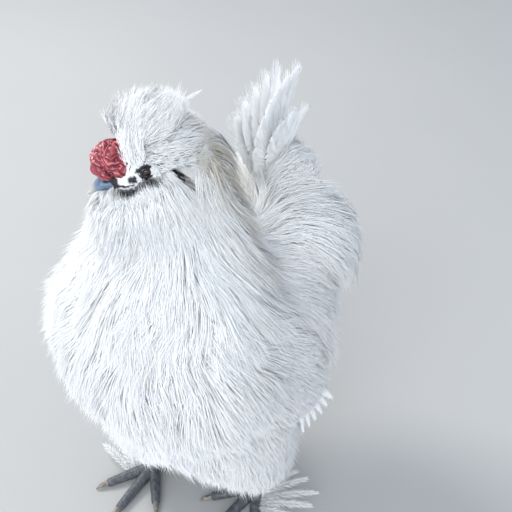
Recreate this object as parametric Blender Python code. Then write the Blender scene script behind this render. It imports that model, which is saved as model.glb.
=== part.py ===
"""A life-size silkie cock that stands still, with its head turned to its right.

Sizes are in metres, +Z is up, the bird faces -Y and its left side is +X.
Places are written (left, forward, up) from the floor point midway between the feet,
and everything is shifted at the end so that the origin lies under the middle of the bird.
The flesh is made of egg-shaped forms. Each node's forms are fused, cut clear of what the
node grows from, and then covered with flat, tapered locks or vanes rooted in its surface.
"""

import math
import random

import bmesh
import bpy
from mathutils import Euler, Matrix, Vector
from mathutils.bvhtree import BVHTree

GAP = 0.00035  # clear space kept between nodes that touch
SHORT_EDGE = 0.0008  # where a coat is fused on, shorter edges than this are closed up
SAME_PLACE = 0.000002  # corners nearer than this count as one
DRAW_APART = 0.00002  # how far such corners are drawn apart where they can't be made one
SEED = 5  # picks one of the possible scatters of the locks
NECK_SEED = 2  # the same for the neck
REACH = 0.5  # longer than the bird, for looking at its surface from outside
DOWN = Vector((0.0, 0.0, -1.0))

# Forms at the tips of the coat: place, (half width, half length, half height), depth of coat
BREAST = ((-0.003, 0.026, 0.178), (0.099, 0.074, 0.086), 0.016)
BODY = ((0.0, -0.034, 0.164), (0.092, 0.086, 0.082), 0.015)
BELLY = ((-0.002, -0.010, 0.112), (0.082, 0.078, 0.072), 0.015)
RUMP = ((0.0, -0.092, 0.176), (0.068, 0.062, 0.062), 0.015)
SADDLE = ((0.0, -0.096, 0.206), (0.080, 0.065, 0.058), 0.018)
NECK_LOW = ((-0.002, 0.014, 0.234), (0.074, 0.062, 0.044), 0.014)
NECK_MID = ((-0.004, 0.008, 0.264), (0.057, 0.052, 0.040), 0.014)
NECK_HIGH = ((-0.005, 0.003, 0.285), (0.043, 0.037, 0.031), 0.014)
TAIL_BASE = ((0.0, -0.108, 0.242), (0.044, 0.040, 0.044), 0.018)
WING = ((0.073, -0.008, 0.162), (0.019, 0.043, 0.075), 0.008)
THIGH = ((0.040, -0.002, 0.090), (0.042, 0.050, 0.062), 0.013)
HOCK = ((0.042, -0.004, 0.048), (0.031, 0.034, 0.032), 0.012)
WING_TILT = math.radians(42)
WING_FLARE = math.radians(-5)

# The head is built about the point between the eyes, facing forward, and then turned.
EYES = (-0.012, 0.024, 0.314)
HEAD_TURN = math.radians(-37)
HEAD_DIP = math.radians(4)
SKULL = ((0.0, -0.008, 0.003), (0.0160, 0.0235, 0.0175), 0.0)
FACE = ((0.0, 0.009, -0.004), (0.0122, 0.0152, 0.0122), 0.0)
NAPE = ((0.0, -0.0335, -0.0080), (0.0310, 0.0280, 0.0330), 0.0140)
BROW = ((0.0070, -0.0100, 0.0140), (0.0115, 0.0205, 0.0080), 0.0)
CHEEK = ((0.0088, -0.0100, -0.0080), (0.0116, 0.0084, 0.0120), 0.0)
BEARD = ((0.0, 0.008, -0.027), (0.0320, 0.0280, 0.0275), 0.0110)
MUFF = ((0.0100, -0.006, -0.018), (0.0210, 0.0230, 0.0200), 0.0090)
CREST = ((0.0, -0.0065, 0.0195), (0.0225, 0.0250, 0.0245), 0.0110)
EYE_RADIUS = 0.0052
EYE_PLACE = (0.0108, 0.0008, 0.0026)
LID_RING = 0.0050
LID_THICK = 0.0011
LID_OPEN = 0.80  # how high the lids open for their width
GAPE = ((0.0, 0.0150, -0.0075), (0.0125, 0.0090, 0.0006), 0.0)
LOBE = ((0.0155, -0.0165, -0.0055), (0.0032, 0.0048, 0.0066), 0.0)
COMB = ((0.0, 0.0185, 0.0070), (0.0085, 0.0088, 0.0090), 0.0)
COMB_BULB = 0.0044
COMB_ROWS = ((-0.30, 7), (0.35, 7), (0.85, 4))
FURROW = ((0.0112, 0.0195, 0.0075), (0.0030, 0.0100, 0.0010), 0.0)
BEAK_ROOT = (0.0, 0.0182, -0.0068)
BEAK_LENGTH = 0.0185
BEAK_HALF_WIDTH = 0.0070
BEAK_HEIGHT = 0.0078
BEAK_DEPTH = 0.0040
BEAK_HOOK = 0.0050
NOSTRIL = (0.0062, 0.0247, -0.0023)
NOSTRIL_RADIUS = 0.0011

# Feet: the middle of each sole, the toes' angles out from forward, and their lengths
FEET = {"left": (0.043, -0.020), "right": (-0.043, 0.012)}
ANKLE = 0.0085
SHANK_RADIUS = 0.0060
TOES = {
    "inner": (-42.0, 0.040, 0.0),
    "middle": (-5.0, 0.052, 0.0),
    "outer": (30.0, 0.043, 0.0),
    "hind": (-160.0, 0.026, 0.0),
    "fifth": (-128.0, 0.024, 0.013),
}
TOE_RADII = (0.0052, 0.0046, 0.0040, 0.0033)
TOE_FLAT = 0.0006  # how deep the floor cuts into the underside of each toe
CLAW_LENGTH = 0.0095
CLAW_RADII = (0.0023, 0.0017, 0.0005)

# Kinds of lock: length, half width, ridge, rise of the tip off the flesh, stand, droop, outline
LOCKS = {
    "body": (0.062, 0.0145, 0.0044, 0.0150, 0.00, 0.10, (0.60, 1.00, 0.74)),
    "hackle": (0.066, 0.0115, 0.0036, 0.0140, 0.00, 0.15, (0.60, 1.00, 0.70)),
    "nape": (0.034, 0.0080, 0.0032, 0.0120, 0.00, 0.15, (0.60, 1.00, 0.70)),
    "plume": (0.072, 0.0105, 0.0034, 0.0160, 0.35, 0.75, (0.55, 1.00, 0.85, 0.55)),
    "thigh": (0.040, 0.0105, 0.0040, 0.0120, 0.05, 0.20, (0.60, 1.00, 0.72)),
    "covert": (0.036, 0.0100, 0.0030, 0.0070, 0.00, 0.00, (0.60, 1.00, 0.74)),
    "flight": (0.046, 0.0062, 0.0014, 0.0060, 0.00, 0.00, (0.60, 0.90, 1.00, 0.90, 0.55)),
    "crest": (0.0170, 0.0054, 0.0025, 0.0100, 0.70, 0.10, (0.60, 1.00, 0.72)),
    "beard": (0.022, 0.0060, 0.0026, 0.0090, 0.00, 0.15, (0.60, 1.00, 0.70)),
    "tail": (0.080, 0.0150, 0.0016, 0.0, 0.00, 0.00, (0.40, 0.75, 1.00, 1.00, 0.80, 0.50)),
    "tail_covert": (0.058, 0.0125, 0.0024, 0.0, 0.10, 0.00, (0.55, 0.95, 1.00, 0.65)),
    "toe_vane": (0.050, 0.0042, 0.0013, 0.0, 0.00, 0.00, (0.55, 1.00, 0.90, 0.60)),
}

# Where each coat grows: rows of roots round a pole, as seen from a centre, and the lie
# centre, pole, (first angle, last angle, rows), spacing, girth radius, lie, kind of lock
COATS = {
    "torso": ((0.0, -0.018, 0.158), (0.0, 0.38, 0.92), (46, 150, 6), 0.0292, 0.076,
              (0.12, -0.45, -0.88), "body"),
    "wing": ((0.030, -0.004, 0.168), (0.25, 0.62, 0.72), (6, 84, 5), 0.0195, 0.056,
             (0.05, -0.66, -0.75), "covert"),
    "thigh": ((0.026, -0.006, 0.104), (0.0, 0.0, 1.0), (78, 140, 4), 0.0200, 0.042,
              (0.10, -0.12, -1.00), "thigh"),
    "neck": ((-0.003, 0.013, 0.252), (-0.06, 0.02, 1.0), (46, 104, 4), 0.0255, 0.050,
             (0.10, -0.10, -1.00), "hackle"),
    "nape": ((0.0, -0.029, -0.009), (0.0, 0.30, 1.0), (30, 112, 3), 0.0150, 0.0200,
             (0.12, -0.40, -1.00), "nape"),
    "saddle": ((0.0, -0.086, 0.196), (0.0, 0.55, 0.84), (16, 118, 5), 0.0200, 0.052,
               (0.42, -0.85, 0.10), "plume"),
    "crest": ((0.0, -0.0060, 0.0100), (0.0, -0.10, 1.0), (0, 122, 7), 0.0102, 0.0150,
              (0.30, -0.25, 0.45), "crest"),
    "beard": ((0.0, -0.004, -0.018), (0.0, 0.50, 0.86), (50, 150, 6), 0.0115, 0.0220,
              (0.15, -0.30, -1.00), "beard"),
}

# Tail vanes in tiers: angle back from upright, lean out to the side, share of length
TAIL_TIERS = (
    ((-36, 0.20, 0.64), (-26, 0.17, 0.70), (-15, 0.14, 0.76), (-4, 0.12, 0.84), (6, 0.10, 0.92)),
    ((-24, 0.30, 0.72), (-8, 0.30, 0.78), (8, 0.30, 0.80)),
)
TAIL_LEAN = -0.15  # how far the whole tail leans to the bird's right
TAIL_SINK = 0.72  # how far out in the tail's base the vanes are rooted
TAIL_CURL = math.radians(46)  # how far a vane bends back from root to tip
TAIL_STRAY = 2.0  # degrees that a vane may stray from its place in the fan

# Flight vanes of a wing: degrees that each fans from the wing's line, and where they start
WING_FAN = (-34, -27, -20, -13, -6, 1)
FLIGHT_START = 0.30  # share of the wing's half length below its middle
FLIGHT_REACH = 0.012  # how far along its own way a vane starts
FLIGHT_STEP = 0.0012  # how far each vane lies over the one before
FLIGHT_LIFT = 0.06  # how much a vane leans outwards at each try

# Feathering of a foot: degrees out from forward of each vane, and where they start
TOE_FAN = (104, 118, 131, 143, 155, 168)
TOE_FAN_ROOT = 36.0  # degrees out from forward of the line that the vanes start from
TOE_FAN_LENGTH = 0.022  # length of that line
TOE_FAN_UP = 0.0060  # its height
TOE_FAN_RISE = (0.16, 0.21)  # how steeply the vanes rise, by turns
TOE_FAN_DROP = math.radians(4.0)  # how much they bend back down at every ring
TOE_FAN_TAPER = 0.12  # how much shorter each vane is than its neighbour nearer the longest

# How the locks are planted
LIFT = 0.0022  # how much a lock is raised at each try until it is clear
TRIES = 6
LIFTED_SINK = 0.4  # share of that raise which its root is drawn out by
SINK_SPARE = 0.0010  # how much deeper than its ridge is high a root is sunk
LEAST_SINK = 0.0012
TURN_STRAY = 0.10  # radians
TILT_STRAY = 0.05  # radians
LIE_STRAY = 0.10
SIZES = (0.86, 1.12)
PARTING = 0.02  # how far from the middle the lie points fully outwards
RISE_SHAPE = 0.8  # how early along its length a lock rises: under 1 is early
RIDGE_FALL = 0.45  # how much lower the ridge is at the last ring than at the root
STAND_TURN = 0.6  # how much a standing lock's lie gives way to straight out

COLOURS = {
    "plumage": (0.86, 0.86, 0.84, 0.80),
    "comb": (0.42, 0.03, 0.06, 0.45),
    "beak": (0.16, 0.22, 0.31, 0.35),
    "face_skin": (0.035, 0.028, 0.045, 0.60),
    "eye": (0.010, 0.008, 0.010, 0.08),
    "ear_lobe": (0.07, 0.06, 0.11, 0.50),
    "foot_skin": (0.10, 0.11, 0.14, 0.60),
    "claw": (0.35, 0.33, 0.32, 0.40),
}


def clear_scene():
    """Removes every object of the start-up scene."""
    for thing in list(bpy.data.objects):
        bpy.data.objects.remove(thing)


def at(place):
    """A (left, forward, up) place as a vector of the frame, where forward is -Y."""
    left, forward, up = place
    return Vector((left, -forward, up))


def head_frame():
    """The head's own frame: between the eyes, turned to the bird's right and dipped."""
    turn = Euler((HEAD_DIP, 0.0, HEAD_TURN)).to_matrix().to_4x4()
    return Matrix.Translation(at(EYES)) @ turn


def finish(name):
    """The Principled material of one finish, made once."""
    if name in bpy.data.materials:
        return bpy.data.materials[name]
    material = bpy.data.materials.new(name)
    material.use_nodes = True
    shader = material.node_tree.nodes["Principled BSDF"]
    red, green, blue, rough = COLOURS[name]
    shader.inputs["Base Color"].default_value = (red, green, blue, 1.0)
    shader.inputs["Roughness"].default_value = rough
    shader.inputs["Metallic"].default_value = 0.0
    return material


def object_of(mesh):
    """Links a mesh to the scene as an object."""
    thing = bpy.data.objects.new(mesh.name, mesh)
    bpy.context.scene.collection.objects.link(thing)
    return thing


def object_from(shape):
    """A mesh object in the scene from a bmesh, with its faces turned outwards."""
    mesh = bpy.data.meshes.new("form")
    bmesh.ops.recalc_face_normals(shape, faces=shape.faces)
    shape.to_mesh(mesh)
    shape.free()
    return object_of(mesh)


def egg(form, grow=0.0, side=1, tilt=0.0, flare=0.0, rounds=(12, 8), frame=Matrix()):
    """An egg-shaped closed form: a sphere stretched to its half sizes, tilted and placed."""
    (left, forward, up), half, _ = form
    size = Matrix.Diagonal((*[h + grow for h in half], 1.0))
    aim = Euler((tilt, flare * side, 0.0)).to_matrix().to_4x4()
    matrix = frame @ Matrix.Translation(at((left * side, forward, up))) @ aim @ size
    shape = bmesh.new()
    bmesh.ops.create_uvsphere(
        shape, u_segments=rounds[0], v_segments=rounds[1], radius=1.0, matrix=matrix
    )
    return object_from(shape)


def core(form, grow=0.0, **ways):
    """The flesh inside one form: the form less the depth of its coat."""
    return egg(form, grow - form[2], **ways)


def tube(points, radii, sides=6):
    """A closed tapering tube through points: a bevelled curve turned into a welded mesh."""
    curve = bpy.data.curves.new("tube", "CURVE")
    curve.dimensions = "3D"
    curve.bevel_depth = 1.0
    curve.bevel_resolution = sides // 2 - 2
    curve.use_fill_caps = True
    spline = curve.splines.new("POLY")
    spline.points.add(len(points) - 1)
    for knot, point, radius in zip(spline.points, points, radii):
        knot.co = (*point, 1.0)
        knot.radius = radius
    guide = bpy.data.objects.new("guide", curve)
    bpy.context.scene.collection.objects.link(guide)
    graph = bpy.context.evaluated_depsgraph_get()
    mesh = bpy.data.meshes.new_from_object(guide.evaluated_get(graph))
    bpy.data.objects.remove(guide)
    shape = bmesh.new()
    shape.from_mesh(mesh)
    bmesh.ops.remove_doubles(shape, verts=shape.verts, dist=1e-6)
    return object_from(shape)


def move_to(collection, thing):
    """Puts an object in one collection only."""
    for holder in list(thing.users_collection):
        holder.objects.unlink(thing)
    collection.objects.link(thing)


def in_order(mesh):
    """The same mesh with its corners and faces listed by place, so that every run gives one bird."""
    corners = [corner.co[:] for corner in mesh.vertices]
    order = sorted(range(len(corners)), key=lambda i: [round(v, 6) for v in corners[i]])
    rank = {old: new for new, old in enumerate(order)}
    faces = []
    for face in mesh.polygons:
        ring = [rank[i] for i in face.vertices]
        first = ring.index(min(ring))
        faces.append(ring[first:] + ring[:first])
    ordered = bpy.data.meshes.new(mesh.name)
    ordered.from_pydata([corners[i] for i in order], [], sorted(faces))
    for material in mesh.materials:
        ordered.materials.append(material)
    return ordered


def boolean(base, others, operation, short=SAME_PLACE):
    """Applies one Boolean between base and a collection of closed meshes, then removes those."""
    if not others:
        return base
    tools = bpy.data.collections.new("tools")
    bpy.context.scene.collection.children.link(tools)
    for other in others:
        move_to(tools, other)
    modifier = base.modifiers.new("join", "BOOLEAN")
    modifier.operation = operation
    modifier.solver = "MANIFOLD"
    modifier.operand_type = "COLLECTION"
    modifier.collection = tools
    graph = bpy.context.evaluated_depsgraph_get()
    mesh = bpy.data.meshes.new_from_object(base.evaluated_get(graph))
    base.modifiers.clear()
    base.data = in_order(mesh)
    for other in list(tools.objects):
        bpy.data.objects.remove(other)
    bpy.data.collections.remove(tools)
    return keep_largest(base, short)


def piece_round(face, waiting):
    """All faces joined to one face over shared edges, taken out of those still waiting."""
    piece = {face}
    front = [face]
    while front:
        for edge in front.pop().edges:
            for other in edge.link_faces:
                if other in waiting:
                    waiting.discard(other)
                    piece.add(other)
                    front.append(other)
    return piece


def volume_of(piece):
    """The volume inside a closed set of triangles."""
    total = 0.0
    for face in piece:
        one, two, three = [loop.vert.co for loop in face.loops]
        total += one.dot(two.cross(three)) / 6.0
    return total


def normal_of(corners):
    """The unit normal of a triangle."""
    return (corners[1] - corners[0]).cross(corners[2] - corners[0]).normalized()


def can_slide(gone, kept):
    """Whether a corner can slide onto its neighbour with no pinch and no fold."""
    round_gone = {edge.other_vert(gone) for edge in gone.link_edges}
    round_kept = {edge.other_vert(kept) for edge in kept.link_edges}
    if len(round_gone & round_kept) != 2:
        return False
    if (gone.co - kept.co).length < SAME_PLACE:
        return True
    for face in gone.link_faces:
        if kept in face.verts:
            continue
        before = normal_of([corner.co for corner in face.verts])
        after = normal_of([kept.co if corner is gone else corner.co for corner in face.verts])
        if before.dot(after) < 0.8:
            return False
    return True


def drop_short_edges(shape, limit):
    """Closes up very short edges, which a union leaves where locks cross at a flat angle."""
    short = [edge for edge in shape.edges if edge.calc_length() < limit]
    for edge in sorted(short, key=lambda edge: round(edge.calc_length(), 6)):
        if not edge.is_valid:
            continue
        ends = sorted(edge.verts, key=lambda corner: corner.co[:])
        for gone, kept in (ends, reversed(ends)):
            if can_slide(gone, kept):
                bmesh.ops.pointmerge(shape, verts=[gone, kept], merge_co=kept.co)
                break


def part_touching(shape):
    """Draws apart corners that only touch, each one a little towards its own neighbours."""
    places = {}
    for corner in shape.verts:
        cell = tuple(round(value / SAME_PLACE) for value in corner.co)
        places.setdefault(cell, []).append(corner)
    for corners in places.values():
        if len(corners) == 1:
            continue
        for corner in corners:
            ends = [edge.other_vert(corner).co for edge in corner.link_edges]
            middle = sum(ends, Vector()) / len(ends)
            corner.co += (middle - corner.co).normalized() * DRAW_APART


def keep_largest(thing, short):
    """Keeps a mesh's largest closed surface, which fills sealed hollows and drops scraps."""
    shape = bmesh.new()
    shape.from_mesh(thing.data)
    bmesh.ops.triangulate(shape, faces=shape.faces)
    waiting = set(shape.faces)
    pieces = []
    while waiting:
        pieces.append(piece_round(waiting.pop(), waiting))
    largest = max(pieces, key=volume_of)
    scraps = [face for face in shape.faces if face not in largest]
    bmesh.ops.delete(shape, geom=scraps, context="FACES")
    drop_short_edges(shape, short)
    part_touching(shape)
    shape.to_mesh(thing.data)
    shape.free()
    return thing


def node_of(name, pieces, slot, cutters=()):
    """One node: closed pieces fused, then cut clear of what it grows from."""
    node = boolean(pieces[0], pieces[1:], "UNION")
    boolean(node, list(cutters), "DIFFERENCE")
    node.name = name
    node.data.name = name
    node.data.materials.clear()
    node.data.materials.append(finish(slot))
    return node


def blade(line, ups, half_widths, ridges, grow=0.0):
    """Points and triangles of a flat lock: rings of two edges and a ridge, ending in a point.

    Each ring is a triangle across the lock's way, with its base on the line. The tip closes
    the last ring. A blade grown a little is used to test how clear it lies.
    """
    points = []
    rings = len(half_widths)
    for k in range(rings):
        way = (line[k + 1] - line[max(k - 1, 0)]).normalized()
        side = way.cross(ups[k]).normalized()
        up = side.cross(way)
        base = line[k] - up * grow
        reach = side * (half_widths[k] + grow)
        points += [base - reach, base + reach, base + up * (ridges[k] + 2.0 * grow)]
    points.append(line[rings])
    faces = [(0, 1, 2)]
    for k in range(rings - 1):
        a, b, c, d, e, f = range(3 * k, 3 * k + 6)
        faces += [(a, d, e), (a, e, b), (b, e, f), (b, f, c), (c, f, d), (c, d, a)]
    a, b, c, tip = range(3 * rings - 3, 3 * rings + 1)
    return points, faces + [(a, tip, b), (b, tip, c), (c, tip, a)]


def tree_of(things):
    """One search tree of the faces of several objects."""
    points = []
    faces = []
    for thing in things:
        first = len(points)
        points += [vertex.co.copy() for vertex in thing.data.vertices]
        faces += [[first + i for i in face.vertices] for face in thing.data.polygons]
    return BVHTree.FromPolygons(points, faces)


class Flesh:
    """The bare flesh of every node as one surface, which knows whose each face is."""

    def __init__(self, nodes):
        self.tree = tree_of(nodes)
        self.owners = [node.name for node in nodes for _ in node.data.polygons]

    def below(self, point):
        """The nearest point of the flesh and the way that it faces there."""
        near, facing, _, _ = self.tree.find_nearest(point)
        return near, facing

    def root(self, name, centre, direction):
        """Where a look back to the centre meets a node's flesh, or nothing if another hides it."""
        hit, facing, face, _ = self.tree.ray_cast(centre + direction * REACH, -direction, REACH)
        if hit is None or self.owners[face] != name:
            return None
        return hit, facing


class Coat:
    """The locks of one node, each kept clear of every other node."""

    def __init__(self, node, nodes, flesh):
        self.node = node
        self.flesh = flesh
        self.others = tree_of([other for other in nodes if other is not node])
        self.blades = []
        self.lost = 0
        self.chance = random.Random(f"{node.name} {SEED}")

    def add(self, kind, line, ups, size):
        """Keeps a lock if it is clear of the other nodes and of the floor by the gap."""
        _, half_width, ridge, _, _, _, outline = LOCKS[kind]
        widths = [half_width * size * share for share in outline]
        ridges = [ridge * (1.0 - RIDGE_FALL * k / len(outline)) for k in range(len(outline))]
        points, faces = blade(line, ups, widths, ridges, GAP)
        if min(point.z for point in points) < 2.0 * GAP:
            return False
        if self.others.overlap(BVHTree.FromPolygons(points, faces)):
            return False
        self.blades.append(blade(line, ups, widths, ridges))
        return True

    def line_along(self, kind, root, facing, lie, size, raised):
        """The line of a lock that follows the flesh along a lie and rises off it to its tip."""
        length, _, ridge, rise, stand, droop, outline = LOCKS[kind]
        step = length * size / len(outline)
        sink = max(LEAST_SINK, ridge + SINK_SPARE - raised * LIFTED_SINK)
        way = lie
        line = [root - facing * sink - way * sink * 0.5]
        ups = [facing]
        point = root
        for k in range(len(outline)):
            share = (k + 1) / len(outline)
            way = (way - facing * way.dot(facing) * (1.0 - stand)).normalized()
            way = (way + DOWN * droop * share).normalized()
            point = point + way * step
            near, facing = self.flesh.below(point)
            height = (rise * size + raised) * share ** RISE_SHAPE
            if stand == 0.0 or (point - near).dot(facing) < height:
                point = near + facing * height
            line.append(point)
            ups.append(facing)
        return line, ups

    def plant(self, kind, root, facing, lie, size):
        """Adds one lock, raised in steps until it is clear, or leaves it out."""
        for step in range(TRIES):
            line, ups = self.line_along(kind, root, facing, lie, size, LIFT * step)
            if self.add(kind, line, ups, size):
                return
        self.lost += 1

    def rows(self, plan, side=1, ahead=0.0, frame=Matrix()):
        """Rows of locks round a pole. Every other row is shifted by half a lock."""
        centre, pole, (first, last, count), spacing, radius, lie, kind = plan
        spin = frame.to_3x3()
        centre = frame @ at((centre[0] * side, centre[1] + ahead, centre[2]))
        pole = (spin @ at((pole[0] * side, pole[1], pole[2]))).normalized()
        across = pole.orthogonal().normalized()
        for row in range(count):
            angle = math.radians(first + (last - first) * row / (count - 1))
            around = max(1, round(2.0 * math.pi * radius * math.sin(angle) / spacing))
            for i in range(around):
                seed = NECK_SEED if self.node.name == "neck" else SEED
                self.chance = random.Random(f"{self.node.name} {kind} {row} {i} {seed}")
                turn = 2.0 * math.pi * (i + 0.5 * (row % 2)) / around
                turn += self.chance.uniform(-TURN_STRAY, TURN_STRAY)
                spoke = Matrix.Rotation(turn, 3, pole) @ across
                tilt = angle + self.chance.uniform(-TILT_STRAY, TILT_STRAY)
                look = pole * math.cos(tilt) + spoke * math.sin(tilt)
                found = self.flesh.root(self.node.name, centre, look)
                if found:
                    root, facing = found
                    way = self.lie_at(root, facing, centre, lie, spin, LOCKS[kind][4])
                    self.plant(kind, root, facing, way, self.chance.uniform(*SIZES))

    def lie_at(self, root, facing, centre, lie, spin, stand):
        """The way that a lock sets out: the lie, outwards on each side, brought to the surface."""
        outward, forward, up = lie
        local = spin.inverted() @ (root - centre)
        share = max(-1.0, min(1.0, local.x / PARTING))
        stray = self.chance.uniform(-LIE_STRAY, LIE_STRAY)
        flow = spin @ at((outward * share + stray, forward, up))
        flow = (flow - facing * flow.dot(facing)).normalized()
        return (flow * (1.0 - STAND_TURN * stand) + facing * stand).normalized()

    def grow(self):
        """Fuses the locks into the node."""
        pieces = []
        for points, faces in self.blades:
            mesh = bpy.data.meshes.new("lock")
            mesh.from_pydata(points, [], faces)
            pieces.append(object_of(mesh))
        boolean(self.node, pieces, "UNION", SHORT_EDGE)
        count = len(self.node.data.polygons)
        print(f"{self.node.name}: {len(pieces)} locks, {self.lost} left out, {count} faces")


def fan_line(start, way, bend, length, rings):
    """A line from a start point, turned a little by a bend matrix at every step."""
    line = [start]
    for _ in range(rings):
        line.append(line[-1] + way * length / rings)
        way = bend @ way
    return line


def tail_vanes(coat):
    """The tail's vanes, a tent of two tiers on each side that curls back at the tips."""
    place, (wide, long, high), depth = TAIL_BASE
    middle = at(place)
    half = [TAIL_SINK * (size - depth) for size in (wide, long, high)]
    for kind, tier in zip(("tail", "tail_covert"), TAIL_TIERS):
        length, _, _, _, _, _, outline = LOCKS[kind]
        rings = len(outline)
        for angle, splay, share in tier:
            for side in (1, -1):
                turn = math.radians(angle + coat.chance.uniform(-TAIL_STRAY, TAIL_STRAY))
                way = at((splay * side + TAIL_LEAN, -math.sin(turn), math.cos(turn))).normalized()
                start = middle + Vector([way[i] * half[i] for i in range(3)])
                bend = Matrix.Rotation(-TAIL_CURL / rings, 3, "X")
                line = fan_line(start, way, bend, length * share, rings)
                coat.add(kind, line, [Vector((side, 0.0, 0.0))] * (rings + 1), 1.0)


def wing_vanes(coat, side):
    """The flight vanes of a wing, which fan from its tip against the flank."""
    rings = len(LOCKS["flight"][6])
    (left, forward, up), half, _ = WING
    wing_way = at((0.0, -math.sin(WING_TILT), -math.cos(WING_TILT)))
    outward = Vector((side, 0.0, 0.0))
    for k, angle in enumerate(WING_FAN):
        way = Matrix.Rotation(math.radians(angle), 3, "X") @ wing_way
        start = at((left * side, forward, up)) + wing_way * half[2] * FLIGHT_START
        start += way * FLIGHT_REACH + outward * FLIGHT_STEP * k
        for lift in range(TRIES):
            tilted = (way + outward * FLIGHT_LIFT * lift).normalized()
            line = fan_line(start, tilted, Matrix.Identity(3), LOCKS["flight"][0], rings)
            if coat.add("flight", line, [outward] * (rings + 1), 1.0):
                break
        else:
            coat.lost += 1


def foot_vanes(coat, word):
    """The feathering of a foot: narrow vanes from the outer toe and ankle, low over the floor."""
    left, forward = FEET[word]
    rings = len(LOCKS["toe_vane"][6])
    longest = (len(TOE_FAN) - 1) // 2
    upward = -DOWN
    for k, angle in enumerate(TOE_FAN):
        share = 1.0 - k / (len(TOE_FAN) - 1)
        start = at((left, forward, TOE_FAN_UP))
        start += toe_way(word, TOE_FAN_ROOT) * TOE_FAN_LENGTH * share
        way = (toe_way(word, angle) + upward * TOE_FAN_RISE[k % 2]).normalized()
        bend = Matrix.Rotation(-TOE_FAN_DROP, 3, way.cross(upward))
        length = LOCKS["toe_vane"][0] * (1.0 - TOE_FAN_TAPER * abs(k - longest))
        line = fan_line(start, way, bend, length, rings)
        coat.add("toe_vane", line, [upward] * (rings + 1), 1.0)


def grow_coats(nodes):
    """Plants and fuses every coat, from the torso outwards."""
    flesh = Flesh(nodes)
    named = {node.name: node for node in nodes}

    def coat_of(name):
        return Coat(named[name], nodes, flesh)

    coat = coat_of("torso")
    coat.rows(COATS["torso"])
    coat.grow()
    for word, side in (("left", 1), ("right", -1)):
        coat = coat_of(f"thigh_{word}")
        coat.rows(COATS["thigh"], side, FEET[word][1] * 0.5)
        coat.grow()
        coat = coat_of(f"wing_{word}")
        wing_vanes(coat, side)
        coat.rows(COATS["wing"], side)
        coat.grow()
        coat = coat_of(f"foot_{word}")
        foot_vanes(coat, word)
        coat.grow()
    for name in ("beard", "crest"):
        coat = coat_of(name)
        coat.rows(COATS[name], frame=head_frame())
        coat.grow()
    coat = coat_of("neck")
    coat.rows(COATS["nape"], frame=head_frame())
    coat.rows(COATS["neck"])
    coat.grow()
    coat = coat_of("tail")
    tail_vanes(coat)
    coat.grow()
    coat = coat_of("saddle")
    coat.rows(COATS["saddle"])
    coat.grow()


def torso_flesh(grow=0.0):
    return [core(form, grow) for form in (BREAST, BODY, BELLY, RUMP)]


def neck_flesh(grow=0.0):
    trunk = [core(form, grow) for form in (NECK_LOW, NECK_MID, NECK_HIGH)]
    return trunk + [core(NAPE, grow, frame=head_frame())]


def saddle_flesh(grow=0.0):
    return [core(SADDLE, grow)]


def tail_flesh(grow=0.0):
    return [core(TAIL_BASE, grow)]


def wing_flesh(side, grow=0.0):
    return [core(WING, grow, side=side, tilt=WING_TILT, flare=WING_FLARE)]


def thigh_flesh(word, grow=0.0):
    """The thigh and hock of one leg, moved forward or back with its foot."""
    side = 1 if word == "left" else -1
    forms = []
    for (left, forward, up), half, depth in (THIGH, HOCK):
        share = 1.0 - 0.5 * up / THIGH[0][2]
        forms.append(((left, forward + FEET[word][1] * share, up), half, depth))
    return [core(form, grow, side=side) for form in forms]


def head_flesh(grow=0.0):
    frame = head_frame()
    return [core(form, grow, frame=frame) for form in (SKULL, FACE)]


def beard_flesh(grow=0.0):
    frame = head_frame()
    return [
        core(BEARD, grow, frame=frame),
        core(MUFF, grow, frame=frame),
        core(MUFF, grow, side=-1, frame=frame),
        core(CHEEK, grow, frame=frame),
        core(CHEEK, grow, side=-1, frame=frame),
    ]


def comb_room():
    """The space that the comb's bulbs take up, with the gap round it."""
    return egg(COMB, COMB_BULB + GAP, frame=head_frame())


def trunk_nodes():
    """Torso, neck, saddle, tail base, wings and thighs as bare flesh."""
    nodes = [
        node_of("torso", torso_flesh(), "plumage"),
        node_of("neck", neck_flesh(), "plumage", torso_flesh(GAP)),
        node_of("tail", tail_flesh(), "plumage", torso_flesh(GAP)),
        node_of("saddle", saddle_flesh(), "plumage",
                torso_flesh(GAP) + neck_flesh(GAP) + tail_flesh(GAP)),
    ]
    for word, side in (("left", 1), ("right", -1)):
        cutters = torso_flesh(GAP) + neck_flesh(GAP) + saddle_flesh(GAP)
        nodes.append(node_of(f"wing_{word}", wing_flesh(side), "plumage", cutters))
        cutters = torso_flesh(GAP) + wing_flesh(side, GAP)
        nodes.append(node_of(f"thigh_{word}", thigh_flesh(word), "plumage", cutters))
    return nodes


def lid_ring(side):
    """The lids of one eye: a ring, wider than it is high, set in the face."""
    bpy.ops.mesh.primitive_torus_add(
        major_radius=LID_RING, minor_radius=LID_THICK, major_segments=12, minor_segments=5
    )
    ring = bpy.context.object
    left, forward, up = EYE_PLACE
    outward = Vector((side, -0.28, 0.06)).normalized()
    aim = outward.to_track_quat("Z", "Y").to_matrix().to_4x4()
    spot = at((left * side, forward, up)) + outward * 0.0030
    size = Matrix.Diagonal((1.0, LID_OPEN, 1.0, 1.0))
    ring.data.transform(head_frame() @ Matrix.Translation(spot) @ aim @ size)
    return ring


def eye_ball(side, grow=0.0):
    """One eyeball, which the lids close round."""
    return egg((EYE_PLACE, (EYE_RADIUS,) * 3, 0.0), grow, side=side, frame=head_frame())


def ear_lobe(side, grow=0.0):
    """One ear lobe, a small oval pad on the side of the skull."""
    return egg(LOBE, grow, side=side, rounds=(10, 6), frame=head_frame())


def crest_flesh(grow=0.0):
    frame = head_frame()
    brows = [core(BROW, grow, side=side, frame=frame) for side in (1, -1)]
    return [core(CREST, grow, frame=frame)] + brows


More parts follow.
